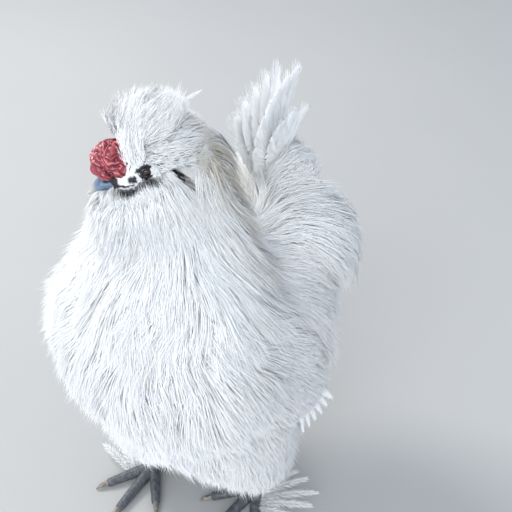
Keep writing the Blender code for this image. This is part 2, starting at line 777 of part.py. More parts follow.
def face_nodes():
    """The head's bare flesh with its lids and gape, the eyes and the ear lobes."""
    frame = head_frame()
    cutters = neck_flesh(GAP) + [egg(GAPE, frame=frame)]
    cutters += [eye_ball(side, GAP) for side in (1, -1)]
    pieces = head_flesh() + [lid_ring(side) for side in (1, -1)]
    nodes = [node_of("head", pieces, "face_skin", cutters)]
    cutters = head_flesh(GAP) + neck_flesh(GAP) + crest_flesh(GAP)
    cutters += [ear_lobe(side, GAP) for side in (1, -1)] + [eye_ball(side, GAP) for side in (1, -1)]
    nodes.append(node_of("beard", beard_flesh(), "plumage", cutters))
    for word, side in (("left", 1), ("right", -1)):
        nodes.append(node_of(f"eye_{word}", [eye_ball(side)], "eye"))
        cutters = head_flesh(GAP) + neck_flesh(GAP)
        nodes.append(node_of(f"ear_lobe_{word}", [ear_lobe(side)], "ear_lobe", cutters))
    return nodes


def comb_node():
    """A walnut comb: a cushion set with rows of bulbs, with a furrow down each side."""
    place, half, _ = COMB
    frame = head_frame()
    chance = random.Random(3)
    pieces = [egg(COMB, rounds=(12, 8), frame=frame)]
    for row, (height, count) in enumerate(COMB_ROWS):
        girth = math.sqrt(1.0 - height * height)
        for i in range(count):
            turn = 2.0 * math.pi * (i + 0.5 * (row % 2)) / count
            spot = (
                place[0] + half[0] * girth * math.sin(turn),
                place[1] + half[1] * girth * math.cos(turn),
                place[2] + half[2] * height,
            )
            size = COMB_BULB * chance.uniform(0.72, 1.0)
            pieces.append(egg((spot, (size, size, size * 0.85), 0.0), rounds=(6, 4), frame=frame))
    furrows = [egg(FURROW, side=side, tilt=0.6, rounds=(8, 6), frame=frame) for side in (1, -1)]
    return node_of("comb", pieces, "comb", head_flesh(GAP) + furrows)


def mandible(upper):
    """Half a beak: arched sections from root to hooked tip, flat where the halves meet."""
    rings, arch = 6, 8
    reach = BEAK_LENGTH if upper else 0.78 * BEAK_LENGTH
    width = BEAK_HALF_WIDTH if upper else 0.86 * BEAK_HALF_WIDTH
    rise = BEAK_HEIGHT if upper else -BEAK_DEPTH
    start = 0.0 if upper else -GAP
    shape = bmesh.new()
    rows = []
    for k in range(rings):
        share = 0.96 * k / (rings - 1)
        taper = (1.0 - share ** 1.7) ** 0.7
        fall = start - BEAK_HOOK * (share * reach / BEAK_LENGTH) ** 2.4
        row = []
        for j in range(arch + 1):
            turn = math.pi * j / arch
            spot = (
                BEAK_ROOT[0] + width * taper * math.cos(turn),
                BEAK_ROOT[1] + reach * share,
                BEAK_ROOT[2] + fall + rise * taper * math.sin(turn),
            )
            row.append(shape.verts.new(head_frame() @ at(spot)))
        rows.append(row)
    for one, two in zip(rows, rows[1:]):
        for j in range(arch + 1):
            k = (j + 1) % (arch + 1)
            shape.faces.new((one[j], one[k], two[k], two[j]))
    shape.faces.new(rows[0])
    shape.faces.new(rows[-1])
    bmesh.ops.triangulate(shape, faces=shape.faces)
    return object_from(shape)


def beak_nodes():
    """Upper and lower beak, clear of the face and comb, with the nostrils pitted in."""
    left, forward, up = NOSTRIL
    pit = ((left, forward, up), (NOSTRIL_RADIUS, 2.0 * NOSTRIL_RADIUS, NOSTRIL_RADIUS), 0.0)
    cutters = head_flesh(GAP) + [comb_room()]
    cutters += [egg(pit, side=side, rounds=(8, 6), frame=head_frame()) for side in (1, -1)]
    return [
        node_of("beak_upper", [mandible(True)], "beak", cutters),
        node_of("beak_lower", [mandible(False)], "beak", head_flesh(GAP) + beard_flesh(GAP)),
    ]


def head_nodes():
    """Everything of the head, cut clear of each other."""
    cutters = head_flesh(GAP) + neck_flesh(GAP) + [comb_room()]
    for side in (1, -1):
        cutters += [ear_lobe(side, GAP), eye_ball(side, GAP)]
    crest = node_of("crest", crest_flesh(), "plumage", cutters)
    return face_nodes() + [crest, comb_node()] + beak_nodes()


def toe_way(word, angle):
    """A toe's direction on the floor, at an angle out from forward."""
    side = 1 if word == "left" else -1
    turn = math.radians(angle)
    return at((math.sin(turn) * side, math.cos(turn), 0.0))


def toe_points(word, toe):
    """The middle line of a toe, from the ankle to its end, at the height that its flat needs."""
    angle, length, rise = TOES[toe]
    left, forward = FEET[word]
    way = toe_way(word, angle)
    points = []
    for k, radius in enumerate(TOE_RADII):
        share = k / (len(TOE_RADII) - 1)
        up = radius - TOE_FLAT + rise * share ** 1.5 + (0.003 if rise else 0.0)
        points.append(at((left, forward, up)) + way * length * share)
    return points


def foot_nodes(word):
    """One foot: shank, ankle and five toes fused, with a flat under each toe, and its claws."""
    left, forward = FEET[word]
    floor = bmesh.new()
    matrix = Matrix.Translation((left, -forward, -0.01)) @ Matrix.Diagonal((0.3, 0.3, 0.02, 1.0))
    bmesh.ops.create_cube(floor, size=1.0, matrix=matrix)
    top = at((left * 0.97, forward - 0.008, 0.050))
    ankle = at((left, forward, ANKLE))
    pieces = [tube([top, ankle], [SHANK_RADIUS, SHANK_RADIUS], sides=10)]
    pieces.append(egg(((left, forward, ANKLE), (0.0080, 0.0085, 0.0080), 0.0), rounds=(10, 6)))
    pieces += [tube(toe_points(word, toe), TOE_RADII) for toe in TOES]
    cutters = [object_from(floor)] + thigh_flesh(word, GAP)
    nodes = [node_of(f"foot_{word}", pieces, "foot_skin", cutters)]
    for toe in TOES:
        nodes.append(claw_node(word, toe))
    return nodes


def claw_node(word, toe):
    """One claw: a short horn that goes on from the toe's end and bends down."""
    last, end = toe_points(word, toe)[-2:]
    way = (end - last).normalized()
    start = end + way * GAP
    middle = start + way * CLAW_LENGTH * 0.5 + DOWN * 0.0003
    tip = start + way * CLAW_LENGTH + DOWN * 0.0016
    return node_of(f"claw_{word}_{toe}", [tube([start, middle, tip], CLAW_RADII)], "claw")


def settle(nodes):
    """Moves the whole bird so that the origin lies under the middle of its box."""
    corners = [vertex.co for node in nodes for vertex in node.data.vertices]
    middle = [0.5 * (min(c[i] for c in corners) + max(c[i] for c in corners)) for i in (0, 1)]
    shift = Matrix.Translation((-middle[0], -middle[1], -min(c.z for c in corners)))
    bird = bpy.data.collections.new("silkie_chicken")
    bpy.context.scene.collection.children.link(bird)
    for node in nodes:
        node.data.transform(shift)
        move_to(bird, node)


def main():
    clear_scene()
    nodes = trunk_nodes() + head_nodes() + foot_nodes("left") + foot_nodes("right")
    grow_coats(nodes)
    settle(nodes)
    total = sum(len(node.data.polygons) for node in nodes)
    print(f"{len(nodes)} nodes, {total} faces")


main()
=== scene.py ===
# %% [markdown]
# # A white silkie cock, life size
# A silkie's feathers have no hooks to hold their barbs together, so its coat looks like fur.
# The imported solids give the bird's size and pose. This lesson dresses them: one skin, a coat of
# solid mesh tufts over it, and a head with its comb, bill, eyes and lids. The forms are written
# with the same named sizes as the solids.

# %% Load the frame
import math
import bpy
import numpy as np
from mathutils import Euler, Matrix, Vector


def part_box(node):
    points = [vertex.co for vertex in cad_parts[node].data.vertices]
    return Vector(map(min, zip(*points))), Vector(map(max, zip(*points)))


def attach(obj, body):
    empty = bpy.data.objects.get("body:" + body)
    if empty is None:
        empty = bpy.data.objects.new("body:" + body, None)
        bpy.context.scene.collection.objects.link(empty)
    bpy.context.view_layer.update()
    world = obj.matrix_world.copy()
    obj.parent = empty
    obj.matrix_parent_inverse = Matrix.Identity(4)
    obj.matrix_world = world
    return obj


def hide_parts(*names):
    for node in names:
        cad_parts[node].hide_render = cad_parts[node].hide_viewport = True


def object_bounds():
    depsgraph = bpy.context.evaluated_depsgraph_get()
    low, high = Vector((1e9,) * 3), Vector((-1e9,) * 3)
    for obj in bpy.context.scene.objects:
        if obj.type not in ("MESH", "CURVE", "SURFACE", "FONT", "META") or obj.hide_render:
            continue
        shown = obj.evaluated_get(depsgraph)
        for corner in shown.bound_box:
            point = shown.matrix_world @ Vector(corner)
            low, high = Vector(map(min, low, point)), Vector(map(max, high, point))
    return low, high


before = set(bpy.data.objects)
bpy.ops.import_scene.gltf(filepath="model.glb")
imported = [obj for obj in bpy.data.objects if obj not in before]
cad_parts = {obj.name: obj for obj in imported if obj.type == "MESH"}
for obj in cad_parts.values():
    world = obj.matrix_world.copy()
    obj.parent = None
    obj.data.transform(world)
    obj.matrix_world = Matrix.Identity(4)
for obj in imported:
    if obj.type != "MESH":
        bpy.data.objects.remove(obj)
cad_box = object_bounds()
print("solids", [round(1000 * (b - a)) for a, b in zip(*cad_box)], "mm")

# %% [markdown]
# ## Places
# The solids were laid out from the floor point midway between the feet, with places written
# (left, forward, up), and were then shifted so that the origin lies under the middle. The shift
# is found from one node whose place is known both ways, the left eye.

# %% Places and the head's own frame
EYES = (-0.012, 0.024, 0.314)
EYE_PLACE = (0.0108, 0.0008, 0.0026)
EYE_RADIUS = 0.0052
HEAD_SPIN = np.array(Euler((math.radians(4), 0.0, math.radians(-37))).to_matrix())
NO_SPIN = np.eye(3)


def at(place):
    """(left, forward, up) as x, y, z: forward is -Y."""
    place = np.asarray(place, float)
    return place * (1.0, -1.0, 1.0)


def unit(ways):
    """Ways divided by their lengths."""
    return ways / np.maximum(np.linalg.norm(ways, axis=-1, keepdims=True), 1e-12)


eye_low, eye_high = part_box("eye_left")
eye_middle = np.array((eye_low + eye_high) / 2)
SHIFT = eye_middle - (at(EYES) + HEAD_SPIN @ at(EYE_PLACE))
HEAD = SHIFT + at(EYES)


def on_head(places):
    """Places of the head's own frame, brought to where the turned head is."""
    return HEAD + at(places) @ HEAD_SPIN.T


print("shift", np.round(1000 * SHIFT, 1), "mm")

# %% [markdown]
# ## Flesh as egg-shaped forms
# A bird's flesh is rounded muscle, so a handful of eggs describes it. An egg has a formula for
# the two things that this lesson needs: where a ray leaves it, which gives the skin, and how high
# a point lies over it, which keeps feathers from sinking in. Each form is written at the tips of
# its coat, with the depth of coat that is taken off for the flesh.

# %% The forms
TORSO = (
    ((-0.003, 0.026, 0.178), (0.099, 0.074, 0.086), 0.016),
    ((0.0, -0.034, 0.164), (0.092, 0.086, 0.082), 0.015),
    ((-0.002, -0.010, 0.112), (0.082, 0.078, 0.072), 0.015),
    ((0.0, -0.092, 0.176), (0.068, 0.062, 0.062), 0.015),
)
SADDLE = (((0.0, -0.096, 0.206), (0.080, 0.065, 0.058), 0.018),)
TAIL_BASE = (((0.0, -0.108, 0.242), (0.044, 0.040, 0.044), 0.018),)
NECK = (
    ((-0.002, 0.014, 0.234), (0.074, 0.062, 0.044), 0.014),
    ((-0.004, 0.008, 0.264), (0.057, 0.052, 0.040), 0.014),
    ((-0.005, 0.003, 0.285), (0.043, 0.037, 0.031), 0.014),
)
WING = (((0.073, -0.008, 0.162), (0.019, 0.043, 0.075), 0.008),)
THIGH = (
    ((0.040, -0.002, 0.090), (0.042, 0.050, 0.062), 0.013),
    ((0.042, -0.004, 0.048), (0.031, 0.034, 0.032), 0.012),
)
WING_TILT, WING_FLARE = math.radians(42), math.radians(-5)
FEET = {"left": (0.043, -0.020), "right": (-0.043, 0.012)}
SIDES = {"left": 1, "right": -1}
NAPE = (((0.0, -0.0335, -0.0080), (0.0310, 0.0280, 0.0330), 0.0140),)
SKULL = (
    ((0.0, -0.008, 0.003), (0.0160, 0.0235, 0.0175), 0.0),
    ((0.0, 0.009, -0.004), (0.0122, 0.0152, 0.0122), 0.0),
)
BROW = ((0.0070, -0.0100, 0.0140), (0.0115, 0.0205, 0.0080), 0.0)
CREST = ((0.0, -0.0065, 0.0195), (0.0225, 0.0250, 0.0245), 0.0110)
CHEEK = ((0.0088, -0.0100, -0.0080), (0.0116, 0.0084, 0.0120), 0.0)
MUFF = ((0.0100, -0.006, -0.018), (0.0210, 0.0230, 0.0200), 0.0090)
BEARD = ((0.0, 0.008, -0.027), (0.0320, 0.0280, 0.0275), 0.0110)


def eggs(rows, origin=SHIFT, spin=NO_SPIN, side=1, tilt=0.0, flare=0.0):
    """Forms as (centre, spin, half sizes of the flesh), mirrored to a side, tilted and placed."""
    made = []
    for (left, forward, up), half, depth in rows:
        own = np.array(Euler((tilt, flare * side, 0.0)).to_matrix())
        centre = origin + at((left * side, forward, up)) @ spin.T
        made.append((centre, spin @ own, np.array(half) - depth))
    return made


def head_eggs(*rows, side=1):
    """Forms that turn with the head."""
    return eggs(rows, HEAD, HEAD_SPIN, side)


def leg_rows(word):
    """The thigh and hock forms, moved forward or back with their foot."""
    rows = []
    for (left, forward, up), half, depth in THIGH:
        share = 1.0 - 0.5 * up / THIGH[0][0][2]
        rows.append(((left, forward + FEET[word][1] * share, up), half, depth))
    return rows


FLESH = {
    "torso": eggs(TORSO),
    "saddle": eggs(SADDLE),
    "tail": eggs(TAIL_BASE),
    "neck": eggs(NECK) + head_eggs(*NAPE),
    "head": head_eggs(*SKULL),
    "crest": head_eggs(CREST, BROW) + head_eggs(BROW, side=-1),
    "beard": head_eggs(BEARD, MUFF, CHEEK) + head_eggs(MUFF, CHEEK, side=-1),
}
for word, side in SIDES.items():
    FLESH[f"wing_{word}"] = eggs(WING, side=side, tilt=WING_TILT, flare=WING_FLARE)
    FLESH[f"thigh_{word}"] = eggs(leg_rows(word), side=side)
ALL_FLESH = sum(FLESH.values(), [])
print(len(ALL_FLESH), "forms of flesh")

# %% Rays and heights


def reach(origin, way, forms, sharp=350.0):
    """How far rays run before they leave the forms.

    In the unit ball of one egg the ray is q + t w, and it leaves at the larger root of
    |q + t w| = 1. A smooth maximum, log(sum(exp(sharp t))) / sharp, joins the eggs.
    """
    far = []
    for centre, spin, half in forms:
        q = (origin - centre) @ spin / half
        w = way @ spin / half
        a, b, c = (w * w).sum(-1), (q * w).sum(-1), (q * q).sum(-1) - 1.0
        root = np.sqrt(np.maximum(b * b - a * c, 0.0))
        far.append(np.where(b * b > a * c, (root - b) / a, 0.0))
    far = np.stack(far)
    top = far.max(0)
    return top + np.log(np.exp(sharp * (far - top)).sum(0)) / sharp


def clearance(points, forms, sharp=500.0):
    """Height of points over the forms, and the way that the flesh faces below them.

    Over one egg the height is k (k - 1) / g, where q is the point in the egg's unit ball,
    k = |q| and g = |q / half|. A smooth minimum joins the eggs.
    """
    heights, ways = [], []
    for centre, spin, half in forms:
        q = (points - centre) @ spin / half
        k = np.linalg.norm(q, axis=-1)
        g = np.maximum(np.linalg.norm(q / half, axis=-1), 1e-9)
        heights.append(k * (k - 1.0) / g)
        ways.append((q / half / g[..., None]) @ spin.T)
    heights = np.stack(heights)
    lowest = heights.min(0)
    share = np.exp(-sharp * (heights - lowest))
    facing = unit((np.stack(ways) * share[..., None]).sum(0))
    return lowest - np.log(share.sum(0)) / sharp, facing


def waves(points, length, seed, count=14):
    """A smooth random field of unit size: the sum of sines of one wavelength in random ways."""
    draw = np.random.default_rng(seed)
    ways = unit(draw.normal(size=(count, 3))) * 2.0 * math.pi / length
    phases = draw.uniform(0.0, 2.0 * math.pi, count)
    return np.sin(points @ ways.T + phases).sum(-1) / math.sqrt(count / 2.0)


def turns(count):
    """Angles once round, without the last, which is the first again."""
    return np.linspace(0.0, 2.0 * math.pi, count, endpoint=False)


# %% [markdown]
# ## From arrays to a mesh
# A shape here is a grid of points worked out as one array, and a mesh is made from it in a few
# calls. A grid that goes round and ends in two poles is closed with one point at each pole, so
# that light can't leak through. Its faces point outwards where its rows run down and its points
# go round as a globe's do; on a mirrored frame, as at the right eye, they point inwards.

# %% Grids and meshes


def mesh_piece(name, points, faces, paint, smooth=True):
    """An object from an array of points and a list of arrays of faces."""
    mesh = bpy.data.meshes.new(name)
    corners = np.concatenate([part.ravel() for part in faces]).astype(np.int32)
    sizes = np.concatenate([np.full(len(part), part.shape[1]) for part in faces])
    mesh.vertices.add(len(points))
    mesh.vertices.foreach_set("co", points.astype(np.float32).ravel())
    mesh.loops.add(len(corners))
    mesh.loops.foreach_set("vertex_index", corners)
    mesh.polygons.add(len(sizes))
    mesh.polygons.foreach_set("loop_start", (np.cumsum(sizes) - sizes).astype(np.int32))
    mesh.update(calc_edges=True)
    mesh.polygons.foreach_set("use_smooth", np.full(len(sizes), smooth))
    mesh.materials.append(paint)
    piece = bpy.data.objects.new(name, mesh)
    bpy.context.scene.collection.objects.link(piece)
    return piece


def ball_faces(rows, spokes, first=0):
    """Faces of a closed grid of rows round an axis, with a pole point before and after it."""
    inner = first + 1 + np.arange(rows * spokes).reshape(rows, spokes)
    after = np.roll(inner, -1, axis=1)
    quads = np.stack([inner[:-1], inner[1:], after[1:], after[:-1]], axis=-1).reshape(-1, 4)
    start = np.full(spokes, first)
    end = np.full(spokes, first + 1 + rows * spokes)
    caps = np.concatenate(
        [np.stack([start, inner[0], after[0]], axis=-1),
         np.stack([end, after[-1], inner[-1]], axis=-1)]
    )
    return quads, caps


def ball_points(grid):
    """The grid's points with the mean of its first and last rows as poles."""
    return np.concatenate([grid[0].mean(0)[None], grid.reshape(-1, 3), grid[-1].mean(0)[None]])


def closed_piece(name, grids, paint):
    """One object of several closed grids."""
    points, quads, caps, first = [], [], [], 0
    for grid in grids:
        q, c = ball_faces(*grid.shape[:2], first)
        points.append(ball_points(grid))
        quads.append(q)
        caps.append(c)
        first += len(points[-1])
    faces = [np.concatenate(quads), np.concatenate(caps)]
    return mesh_piece(name, np.concatenate(points), faces, paint)


POLE_GAP = 0.02


def globe(rows, spokes):
    """Ways out from a centre: row by row down from the pole, and round it in each row."""
    fall = np.linspace(POLE_GAP, math.pi - POLE_GAP, rows)[:, None]
    turn = turns(spokes)[None]
    level = np.sin(fall)
    return np.stack([level * np.cos(turn), level * np.sin(turn), np.cos(fall) + 0.0 * turn], -1)


def star(centre, forms, rows, spokes, spin=NO_SPIN):
    """A surface seen from a centre: centre + way * reach(way)."""
    ways = globe(rows, spokes) @ spin.T
    return centre + ways * reach(centre, ways, forms)[..., None]


def column(path, forms, spokes):
    """A surface round an upright path: at each height, level rays out to the forms."""
    turn = turns(spokes)
    ways = np.stack([np.cos(turn), np.sin(turn), 0.0 * turn], -1)[None]
    origin = path[:, None]
    return origin + ways * reach(origin, ways + 0.0 * origin, forms)[..., None]


def dress(piece, slot, *nodes):
    """Says what a piece rides on and the nodes that it stands for; its finish, the slot, is not
    used.
    """
    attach(piece, "root")
    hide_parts(*nodes)
    print(piece.name, len(piece.data.polygons), "faces")
    return piece


# %% [markdown]
# ## Paint
# Finishes are written as sums. A wire is a socket that can be added to, multiplied and so on,
# and each operator adds its Math node, which reads far better than nodes linked one by one.

# %% Wires and paints


class Wire:
    """A socket to reckon with: each operator adds one Math node."""

    def __init__(self, paint, socket):
        self.paint = paint
        self.socket = socket

    def sum(self, operation, *terms):
        """One Math node on wires and numbers."""
        return self.paint.node("ShaderNodeMath", {"operation": operation}, dict(enumerate(terms)))

    def __add__(self, other):
        return self.sum("ADD", self, other)

    __radd__ = __add__

    def __sub__(self, other):
        return self.sum("SUBTRACT", self, other)

    def __rsub__(self, other):
        return self.sum("SUBTRACT", other, self)

    def __mul__(self, other):
        return self.sum("MULTIPLY", self, other)

    __rmul__ = __mul__

    def __pow__(self, other):
        return self.sum("POWER", self, other)

    def between(self, low, high):
        """0 at low, 1 at high and smooth between."""
        inputs = {"Value": self, "From Min": low, "From Max": high}
        return self.paint.node("ShaderNodeMapRange", {"interpolation_type": "SMOOTHSTEP"}, inputs)


class Paint:
    """One finish: a Principled shader whose other nodes all come from node()."""

    def __init__(self, name, **constants):
        self.material = bpy.data.materials.new(name)
        self.material.use_nodes = True
        self.tree = self.material.node_tree
        self.shader = self.tree.nodes["Principled BSDF"]
        for socket, value in constants.items():
            self.shader.inputs[socket.replace("_", " ")].default_value = value

    def node(self, kind, settings, inputs, output=0):
        """Adds a node: its settings first, then the values or wires of its sockets."""
        node = self.tree.nodes.new(kind)
        for key, value in settings.items():
            setattr(node, key, value)
        for key, value in inputs.items():
            if isinstance(value, Wire):
                self.tree.links.new(value.socket, node.inputs[key])
            else:
                node.inputs[key].default_value = value
        return Wire(self, node.outputs[output])

    def feed(self, socket, wire):
        """Links a wire to one of the shader's sockets."""
        self.tree.links.new(wire.socket, self.shader.inputs[socket])

    def place(self):
        """Object coordinates."""
        return self.node("ShaderNodeTexCoord", {}, {}, "Object")

    def mark(self, part):
        """One part of the 'lock' attribute: its tone, how far along it is, or its stain, which on
        the bill is painted shade.
        """
        lock = self.node("ShaderNodeAttribute", {"attribute_name": "lock"}, {}, "Vector")
        return self.node("ShaderNodeSeparateXYZ", {}, {"Vector": lock}, part)

    def noise(self, scale, detail=3.0):
        """Noise from 0 to 1 at so many waves a metre."""
        inputs = {"Vector": self.place(), "Scale": scale, "Detail": detail}
        return self.node("ShaderNodeTexNoise", {}, inputs, "Fac")

    def cloud(self, scale, detail, one, two):
        """Two colours in clouds."""
        return self.mix(self.noise(scale, detail).between(0.3, 0.7), one, two)

    def mix(self, factor, one, two):
        """A colour between two."""
        return self.node("ShaderNodeMix", {"data_type": "RGBA"}, {0: factor, 6: one, 7: two}, 2)

    def grain(self, scale, distance, strength):
        """Feeds a fine noise's height, in shares of a distance, to the shader's Normal."""
        inputs = {"Height": self.noise(scale), "Distance": distance, "Strength": strength}
        self.feed("Normal", self.node("ShaderNodeBump", {}, inputs))


# %% [markdown]
# ## Plumage colour
# The coat is white, but not evenly: each lock differs a little, its root lies in warm shade, and
# weather has stained the rear edge of the hackle a brassy tan. The stain is worked out once from
# places on the bird and stored with the mesh, so the skin and the coat carry the same marks. A
# tone below 0 marks bare skin.

# %% Plumage paint
STAINS = (
    ((0.022, -0.004, 0.337), 0.015, 0.60),
    ((0.033, -0.003, 0.322), 0.018, 0.95),
    ((0.036, -0.012, 0.303), 0.018, 0.95),
    ((0.038, -0.018, 0.284), 0.017, 0.75),
    ((0.055, -0.006, 0.262), 0.016, 0.50),
    ((0.004, -0.068, 0.262), 0.022, 0.35),
    ((-0.034, -0.004, 0.318), 0.016, 0.55),
)


def stain(points):
    """How stained each place is: a round patch of fading strength about each stain's middle."""
    total = np.zeros(points.shape[:-1])
    for place, size, strength in STAINS:
        far = np.linalg.norm(points - (SHIFT + at(place)), axis=-1) / size
        total = np.maximum(total, strength * np.exp(-(far**2)))
    return total * (0.75 + 0.25 * waves(points, 0.012, 5))


def plumage_paint():
    """White with a sheen, a tone for each lock, painted warm shade at the roots, stains, and dark
    bare skin.
    """
    sheen = {"Sheen_Weight": 0.30, "Sheen_Roughness": 0.6}
    paint = Paint("silky_plumage", Roughness=0.70, **sheen, Specular_IOR_Level=0.3)
    white = paint.cloud(38.0, 4.0, (0.93, 0.94, 0.95, 1), (0.97, 0.965, 0.955, 1))
    white = paint.mix(paint.mark("X") * 0.25, white, (0.88, 0.90, 0.92, 1))
    # painted shade: a warm grey that grows towards each strand's root
    root_shade = (1.0 - paint.mark("Y")) ** 2.0
    white = paint.mix(root_shade * 0.20, white, (0.88, 0.86, 0.80, 1))
    white = paint.mix(paint.mark("Z"), white, (0.44, 0.36, 0.21, 1))
    naked = (0.0 - paint.mark("X")).between(0.0, 1.0)
    paint.feed("Base Color", paint.mix(naked, white, (0.030, 0.022, 0.028, 1)))
    return paint.material


PLUMAGE = plumage_paint()


def set_lock(piece, tone, along, marks):
    """Stores tone, how far along and stain, or the bill's painted shade, with each point of a
    piece.
    """
    data = np.stack(np.broadcast_arrays(tone, along, marks), axis=-1).reshape(-1, 3)
    layer = piece.data.attributes.new("lock", "FLOAT_VECTOR", "POINT")
    layer.data.foreach_set("vector", data.astype(np.float32).ravel())


# %% [markdown]
# ## One skin
# The skin is the flesh's surface: a globe of rays for the trunk and the head, level rays for the
# upright neck and legs. It replaces every node of flesh. A silkie's skin is almost black, but
# only the face is bare, so the rest is painted as the down that covers it.

# %% Skin surfaces
TRUNK_MIDDLE = SHIFT + at((0.0, -0.030, 0.165))
THIGH_TOP, HOCK_GAP = 0.035, 0.001


def leg_path(word):
    """The middle line of a thigh, from high inside the body down to the hock."""
    (left, high_f, high), _, _ = leg_rows(word)[0]
    (_, low_f, low), half, depth = leg_rows(word)[1]
    up = np.linspace(high + THIGH_TOP, low - half[2] + depth + HOCK_GAP, 40)
    share = (high - up) / (high - low)
    forward = high_f + (low_f - high_f) * share
    return SHIFT + at(np.stack([0.0 * up + left * SIDES[word], forward, up], -1))


NECK_HEIGHTS, NECK_FORWARD, NECK_LEFT = (0.205, 0.29, 0.333), (0.012, 0.002, 0.0), -0.004
neck_up = np.linspace(NECK_HEIGHTS[0], NECK_HEIGHTS[-1], 60)
neck_forward = np.interp(neck_up, NECK_HEIGHTS, NECK_FORWARD)
neck_path = SHIFT + at(np.stack([NECK_LEFT + 0.0 * neck_up, neck_forward, neck_up], -1))
SURFACES = {
    "torso": star(TRUNK_MIDDLE, FLESH["torso"] + FLESH["saddle"], 120, 160),
    "tail": star(FLESH["tail"][0][0], FLESH["tail"], 30, 48),
    "neck": column(neck_path, FLESH["neck"], 110),
    "head": star(on_head((0.0, -0.002, -0.001)), FLESH["head"], 90, 120, HEAD_SPIN),
    "crest": star(FLESH["crest"][0][0], FLESH["crest"], 60, 80, HEAD_SPIN),
    "beard": star(FLESH["beard"][0][0], FLESH["beard"], 60, 80, HEAD_SPIN),
}
for word in SIDES:
    SURFACES[f"thigh_{word}"] = column(leg_path(word), FLESH[f"thigh_{word}"], 60)
    wing = FLESH[f"wing_{word}"]
    SURFACES[f"wing_{word}"] = star(wing[0][0], wing, 40, 60, wing[0][1])
# the neck's path climbs, so its rows are turned over to run down as a globe's do
SURFACES["neck"] = SURFACES["neck"][::-1]
print({name: grid.shape[:2] for name, grid in SURFACES.items()})

# %% [markdown]
# ## How a tuft grows
# A silkie's feather is a short soft shaft with long loose barbs, so from outside one sees fans
# of fine strands. Particle hair would be quicker, but an export drops it. So each feather is
# grown as a line that leaves its root, follows the lie of the coat and stays at its height over
# the flesh, and then a handful of thin three-sided strands fan along that line.

# %% Roots and lines


ROOT_DEPTH = 0.0015
COAT_SHARP = 170.0
OWN_SKIN, OTHER_SKIN = 0.003, -0.001
FLOOR_GAP = 0.0012
SHORTEST, LONGEST = 0.68, 1.16


def scatter(grid, count, weight, draw):
    """Random roots on a grid: a cell drawn by its area times its weight, a place inside it by
    bilinear shares. Returns the points and their shares along and round the grid."""
    grid = np.concatenate([grid, grid[:, :1]], axis=1)
    a, b, c, d = grid[:-1, :-1], grid[1:, :-1], grid[:-1, 1:], grid[1:, 1:]
    area = np.linalg.norm(np.cross(d - a, c - b), axis=-1) / 2.0
    load = np.cumsum((area * weight((a + b + c + d) / 4.0)).ravel())
    aims = (np.arange(count) + draw.random(count)) / count * load[-1]
    i, j = np.divmod(np.searchsorted(load, aims), area.shape[1])
    s, t = draw.random((2, count, 1))
    points = (a[i, j] * (1 - s) + b[i, j] * s) * (1 - t) + (c[i, j] * (1 - s) + d[i, j] * s) * t
    shares = np.stack([(i + s[:, 0]) / area.shape[0], (j + t[:, 0]) / area.shape[1]], -1)
    return points, shares


def dot(one, two):
    """Dot products along the last axis, which is kept."""
    return (one * two).sum(-1, keepdims=True)


def follow(roots, way, length, rise, stand, droop, under, steps=6):
    """Lines that set out along the lie, keep to the curve of the flesh and lift to their tips.

    At each step the way loses the part that points off the flesh, unless it stands, and gains
    some of the fall. The point then goes to its height, rise * share^0.8, over the flesh, whose
    hollows are filled out here, as a coat fills them.
    """
    _, facing = clearance(roots, under)
    line, ups = [roots - facing * ROOT_DEPTH], [facing]
    point = roots
    for k in range(1, steps + 1):
        share = k / steps
        way = unit(way - facing * dot(way, facing) * (1.0 - stand))
        way = unit(way + np.array((0.0, 0.0, -1.0)) * droop * share)
        point = point + way * length / steps
        height, facing = clearance(point, under, COAT_SHARP)
        lack = rise * share**0.8 - height[:, None]
        point = point + facing * np.where(stand > 0.0, np.maximum(lack, 0.0), lack)
        line.append(point)
        ups.append(facing)
    return np.stack(line, 1), np.stack(ups, 1)


def along_line(line, share):
    """Points of polylines (one a row) at shares from 0 to 1 of their steps."""
    steps = line.shape[1] - 1
    spot = np.clip(share, 0.0, 1.0) * steps
    low = np.minimum(spot.astype(int), steps - 1)
    part = (spot - low)[..., None]
    row = np.arange(len(line))[:, None]
    return line[row, low] * (1.0 - part) + line[row, low + 1] * part


# %% Strands
# by number of rings: where they sit along a strand, and their shares of its width
STRAND_SHARES = {2: (0.0, 0.55, 1.0), 3: (0.0, 0.42, 0.78, 1.0)}
STRAND_WIDTHS = {2: (0.80, 1.0), 3: (0.75, 1.0, 0.62)}
KEEL = 0.75


def fan(line, ups, strands, spread, fluff, wisp, rings, draw):
    """Strand lines of feathers: each strand follows its feather's line, a little to the side.

    The side offset is spread * a * (0.3 + 1.2 t - 0.66 t^2) for a strand at a from -1 to 1,
    the outer strands are shorter, and the tips stray by wisp * t^2.
    """
    count = len(line)
    a = np.linspace(-1.0, 1.0, strands)[None] + draw.uniform(-0.6, 0.6, (count, strands)) / strands
    line = np.repeat(line, strands, axis=0)
    ups = np.repeat(ups, strands, axis=0)
    a = a.reshape(-1, 1)
    share = np.array(STRAND_SHARES[rings])[None]
    ends = 1.0 - 0.28 * a**2 - 0.22 * draw.random(a.shape)
    t = share * ends
    spots, up = along_line(line, t), along_line(ups, t)
    way = unit(np.gradient(spots, axis=1))
    side = unit(np.cross(way, up))
    wide = a * (0.3 + 1.2 * t - 0.66 * t**2) * np.repeat(spread, strands, axis=0)
    stray = draw.normal(size=(len(a), 2, 1)) * wisp * share[:, None] ** 2
    lift = draw.random(a.shape) * fluff * share
    loft = lift + np.abs(stray[:, 1])
    spots = spots + side * (wide + stray[:, 0])[..., None] + up * loft[..., None]
    return spots, side, up


